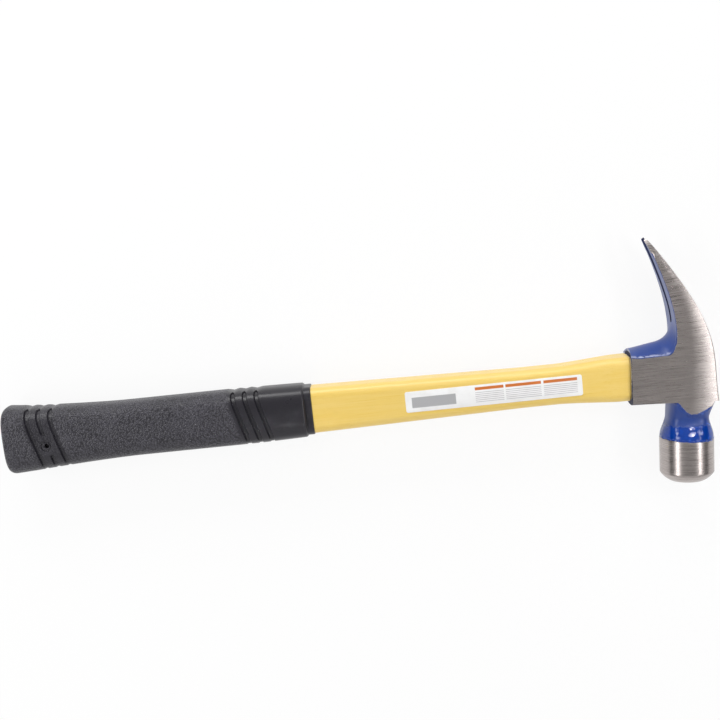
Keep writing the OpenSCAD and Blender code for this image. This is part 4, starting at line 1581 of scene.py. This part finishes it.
    def skin(self) -> Grid:
        """The grip's outer skin: superellipses cut back by the grooves and leaned by a clipped shear.

        Returns:
            The closed grid, with the station on the zone map.
        """
        x = self.stations()
        high, deep = (size[:, None] for size in self.half_sizes(x))
        angle = np.linspace(0.0, 2 * np.pi, self.columns + 1)[None, :]
        y, z = oval(angle, high, high, deep, self.section_power)
        cut = self.rounding(x)[:, None] + self.grooves(x, y, z, high)
        front = self.length - self.lip
        slope = np.clip((x - front + self.nose_length) / self.nose_length, 0.0, 1.0)[:, None]
        drop = (self.nose_drop - self.front_round) * (1 - np.sqrt(1 - self.nose_share * slope**2))
        y, z = oval(angle, high - cut, high - cut, deep - cut - drop, self.section_power)
        group_half = 1.5 * self.pitch
        lean = self.lean * ease(x / (self.rear_group - group_half))
        lean = lean * ease((front - x) / (front - self.front_group - group_half))
        reach = y / (1 + np.abs(y / self.lean_height) ** self.lean_power) ** (1 / self.lean_power)
        place = x[:, None] - np.tan(np.radians(lean))[:, None] * reach
        points = self.datum.on_handle(place, y, z)[:, :-1]
        return tube(points, grain_turn=100.0, zone=stack(x[:, None], angle * self.high))

    def lip_skin(self) -> Grid:
        """The thin lip: the handle's outline grown by the wall, its edge rounded over onto the handle.

        Returns:
            The closed grid, with the station on the zone map.
        """
        front = self.length - self.lip
        a = np.linspace(0.0, np.pi / 2, 7)
        edge = self.length - self.lip_wall * (1 - np.sin(a))
        x = np.concatenate([[front - self.lip_inside, front], edge])
        grow = np.concatenate([[1.0, 1.0], np.cos(a)]) * self.lip_wall
        sizes = (self.handle.full_high, self.handle.deep, self.handle.edge)
        y, z = slab(*(size + grow for size in sizes))
        points = self.datum.on_handle(x[:, None], y, z)
        turn = 90.0
        zone = stack(x[:, None], np.linspace(0.0, turn, points.shape[1] + 1)[None, :])
        return tube(points, turn, zone)

    def bore(self, name: str, profile: np.ndarray, shift: Pair = (0.0, 0.0)) -> bpy.types.Object:
        """A turned cutting tool over the pin's place.

        Args:
            name: Name of the tool.
            profile: Radius and height above the skin, points by 2, with the ends on the axis or joined.
            shift: How far its axis lies from the pin's.

        Returns:
            The tool.
        """
        angle = np.linspace(0.0, 2 * np.pi, 49)[None, :-1]
        top = self.half_sizes(np.array([self.pin_place]))[1][0]
        radius, height = profile[:, :1], profile[:, 1:]
        points = self.datum.on_handle(
            self.pin_place + shift[0] + radius * np.cos(angle),
            shift[1] - self.pin_drop + radius * np.sin(angle),
            top + height + 0.0 * angle,
        )
        zone = np.full((len(profile), angle.size + 1, 2), self.pin_place)
        return build(name, [Grid(points, zone, zone, ring=True)])

    def bores(self) -> list[bpy.types.Object]:
        """The tools for the pin hole, dished below and bevelled above, and for the ring mark round it.

        Returns:
            The two tools, which stand past the skin.
        """
        r, d, above = self.pin_radius, self.pin_depth, self.tool_past
        (share, dish), (wide, deep) = self.pin_dish, self.pin_bevel
        floor = [[0.0, -d], [r * share, -d + dish], [r, -d + self.pin_round]]
        hole = np.array([*floor, [r, -deep], [r + wide, above], [0.0, above]])
        outer, inner, mark = self.ring_radius, self.ring_radius - self.ring_width, -self.ring_depth
        top = [[outer + self.ring_draft, above], [inner - self.ring_draft, above]]
        ring = np.array([[inner, mark], [outer, mark], *top, [inner, mark]])
        return [self.bore("pin_tool", hole), self.bore("ring_tool", ring, self.ring_shift)]

    def make(self) -> None:
        """Builds the grip, bores the pin hole and its ring mark, and dresses it with its lip."""
        piece = build("grip_cover", [self.skin()], angle=30.0)
        carve(piece, self.bores(), angle=30.0)
        reach = self.pitch + self.groove / 2
        first = self.front_group - reach
        rear = (self.rear_group - reach, self.rear_group + reach)
        material = GripFinish(first - self.stipple_fade, first, *rear).make()
        for part in (piece, build("grip_lip", [self.lip_skin()], angle=30.0)):
            dress(part, material, "grip_sleeve")


@dataclass(frozen=True)
class Camera:
    """The photograph's view: turned, pitched and swung from straight above, aimed at a point of the part."""

    roll: float = 0.10713
    pitch: float = 0.16539
    yaw: float = 0.01877
    distance: float = 766.71
    target: Triple = (3.878, 18.305, 15.9)
    lens: float = 67.1
    sensor: float = 36.0
    near_clip: float = 0.01

    def make(self) -> None:
        """Places the camera: its three axes are worked out from the angles, its place from the distance."""
        upright = np.array([np.sin(self.roll), np.cos(self.roll), 0.0])
        right = np.array([np.cos(self.roll), -np.sin(self.roll), 0.0])
        toward = upright * np.sin(self.pitch) + np.array([0.0, 0.0, np.cos(self.pitch)])
        toward = toward * np.cos(self.yaw) + right * np.sin(self.yaw)
        up = upright - toward * (upright @ toward)
        up = up / np.linalg.norm(up)
        right = np.cross(up, toward)
        eye = (np.array(self.target) + toward * self.distance) * MM
        data = bpy.data.cameras.new("picture_camera")
        data.lens, data.sensor_width, data.clip_start = self.lens, self.sensor, self.near_clip
        camera = bpy.data.objects.new("picture_camera", data)
        axes = np.column_stack([right, up, toward, eye])
        camera.matrix_world = Matrix([*axes.tolist(), [0.0, 0.0, 0.0, 1.0]])
        bpy.context.collection.objects.link(camera)
        bpy.context.scene.camera = camera


@dataclass(frozen=True)
class SoftBox:
    """A rectangular studio lamp aimed at a point, its length across the handle.

    Attributes:
        name: Name of the lamp.
        tilt: Angle from straight above in degrees, towards +X.
        swing: Angle from straight above in degrees, towards +Y.
        distance: Distance from the point, in metres.
        width: Width along the handle, in metres.
        length: Length across the handle, in metres.
        radiance: Brightness of its face, where 1 is white.
        aim: The point it is aimed at, in metres.
        spread: Full angle of its beam in degrees.
    """

    name: str
    tilt: float
    swing: float
    distance: float
    width: float
    length: float
    radiance: float
    aim: Triple = (0.187, -0.008, 0.02)
    spread: float = 180.0

    def make(self) -> None:
        """Places the lamp: its power is radiance times area times pi, less what a narrow beam leaves out."""
        data = bpy.data.lights.new(self.name, "AREA")
        data.shape, data.size, data.size_y = "RECTANGLE", self.width, self.length
        data.spread = np.radians(self.spread)
        beam = 1 - data.spread / 2 / np.tan(data.spread / 2)
        data.energy = self.radiance * self.width * self.length * np.pi * beam
        lean = Vector((np.tan(np.radians(self.tilt)), np.tan(np.radians(self.swing)), 1.0)).normalized()
        lamp = bpy.data.objects.new(self.name, data)
        side = Vector((0.0, 1.0, 0.0)).cross(lean).normalized()
        turn = Matrix((side, lean.cross(side), lean)).transposed().to_4x4()
        lamp.matrix_world = Matrix.Translation(Vector(self.aim) + lean * self.distance) @ turn
        lamp.visible_camera = False
        bpy.context.collection.objects.link(lamp)


@dataclass(frozen=True)
class Studio:
    """A white floor, a pale room that is brighter along the handle's sides, and soft boxes."""

    overhead: float = 0.47
    near_side: float = 0.5
    near_band: Pair = (-0.75, -0.3)
    far_side: float = 0.3
    far_band: Pair = (0.35, 0.8)
    ends: float = 0.42
    end_band: Pair = (0.77, 0.95)
    floor_half: float = 4.0
    floor_white: float = 0.95
    floor_glow: float = 0.88
    boxes: tuple[SoftBox, ...] = (
        SoftBox("left_box", -51.0, 0.0, 1.3, 0.20, 1.1, 7.5),
        SoftBox("right_box", 44.5, 0.0, 1.3, 0.20, 1.1, 7.5),
        SoftBox("top_box", 0.0, 68.0, 1.3, 1.4, 0.45, 4.5, (0.0, 0.0, 0.02)),
        SoftBox("bell_lamp", 15.8, 26.0, 1.3, 0.09, 0.14, 100.0, (0.186, -0.041, 0.03), 8.0),
        SoftBox("grip_lamp", -5.8, -23.5, 1.3, 0.03, 0.03, 180.0, (-0.04, -0.0123, 0.0284), 6.0),
    )

    def room(self) -> None:
        """The room's light: even overhead, brighter towards both sides and darker towards both ends."""
        bpy.context.scene.world = bpy.data.worlds.new("room")
        bench = NodeBench(bpy.context.scene.world)
        x, y, _ = bench.parts(bench.add("ShaderNodeTexCoord", {}).outputs["Generated"])
        strength = bench.plus(
            self.overhead,
            bench.ramp(y, *self.near_band, self.near_side, 0.0),
            bench.ramp(y, *self.far_band, 0.0, self.far_side),
        )
        ends = bench.ramp(bench.math("ABSOLUTE", x), *self.end_band, 0.0, self.ends)
        glow = bench.add("ShaderNodeBackground", {"Strength": bench.math("SUBTRACT", strength, ends)})
        bench.add("ShaderNodeOutputWorld", {0: glow.outputs[0]})

    def floor(self) -> None:
        """A white floor under the hammer that glows a little to the eye and keeps the shadow."""
        side = np.array([-self.floor_half, self.floor_half])
        x, y = np.meshgrid(side, side)
        mesh = bpy.data.meshes.new("floor")
        mesh.from_pydata(stack(x, y, 0.0).reshape(-1, 3).tolist(), [], [(0, 1, 3, 2)])
        sheet = bpy.data.objects.new("floor", mesh)
        bpy.context.collection.objects.link(sheet)
        bench = NodeBench.material("floor_paper")
        light = bench.add("ShaderNodeLightPath", {})
        seen = bench.math("MAXIMUM", light.outputs["Is Camera Ray"], light.outputs["Is Glossy Ray"])
        seen = bench.math("MAXIMUM", seen, light.outputs["Is Transmission Ray"])
        white = (self.floor_white, self.floor_white, self.floor_white, 1.0)
        paper = bench.add("ShaderNodeBsdfDiffuse", {"Color": white}).outputs[0]
        glow = bench.add("ShaderNodeEmission", {"Color": (1.0, 1.0, 1.0, 1.0), "Strength": 1.0}).outputs[0]
        share = bench.times(seen, self.floor_glow)
        both = bench.add("ShaderNodeMixShader", {0: share, 1: paper, 2: glow}).outputs[0]
        bench.add("ShaderNodeOutputMaterial", {0: both})
        mesh.materials.append(bench.owner)

    def make(self) -> None:
        """Sets up the room, the floor and the lamps."""
        self.room()
        self.floor()
        for box in self.boxes:
            box.make()
        bpy.context.scene.view_settings.view_transform = "Standard"


def main() -> None:
    """Builds the studio and the hammer's pieces in order."""
    logging.basicConfig(level=logging.INFO, format="%(name)s: %(message)s")
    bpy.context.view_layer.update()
    datum = Datum.read()
    Camera().make()
    Studio().make()
    head = Head(datum)
    handle = Handle(datum, head)
    for part in (head, handle, Grip(datum, handle)):
        part.make()


if __name__ == "__main__":
    main()
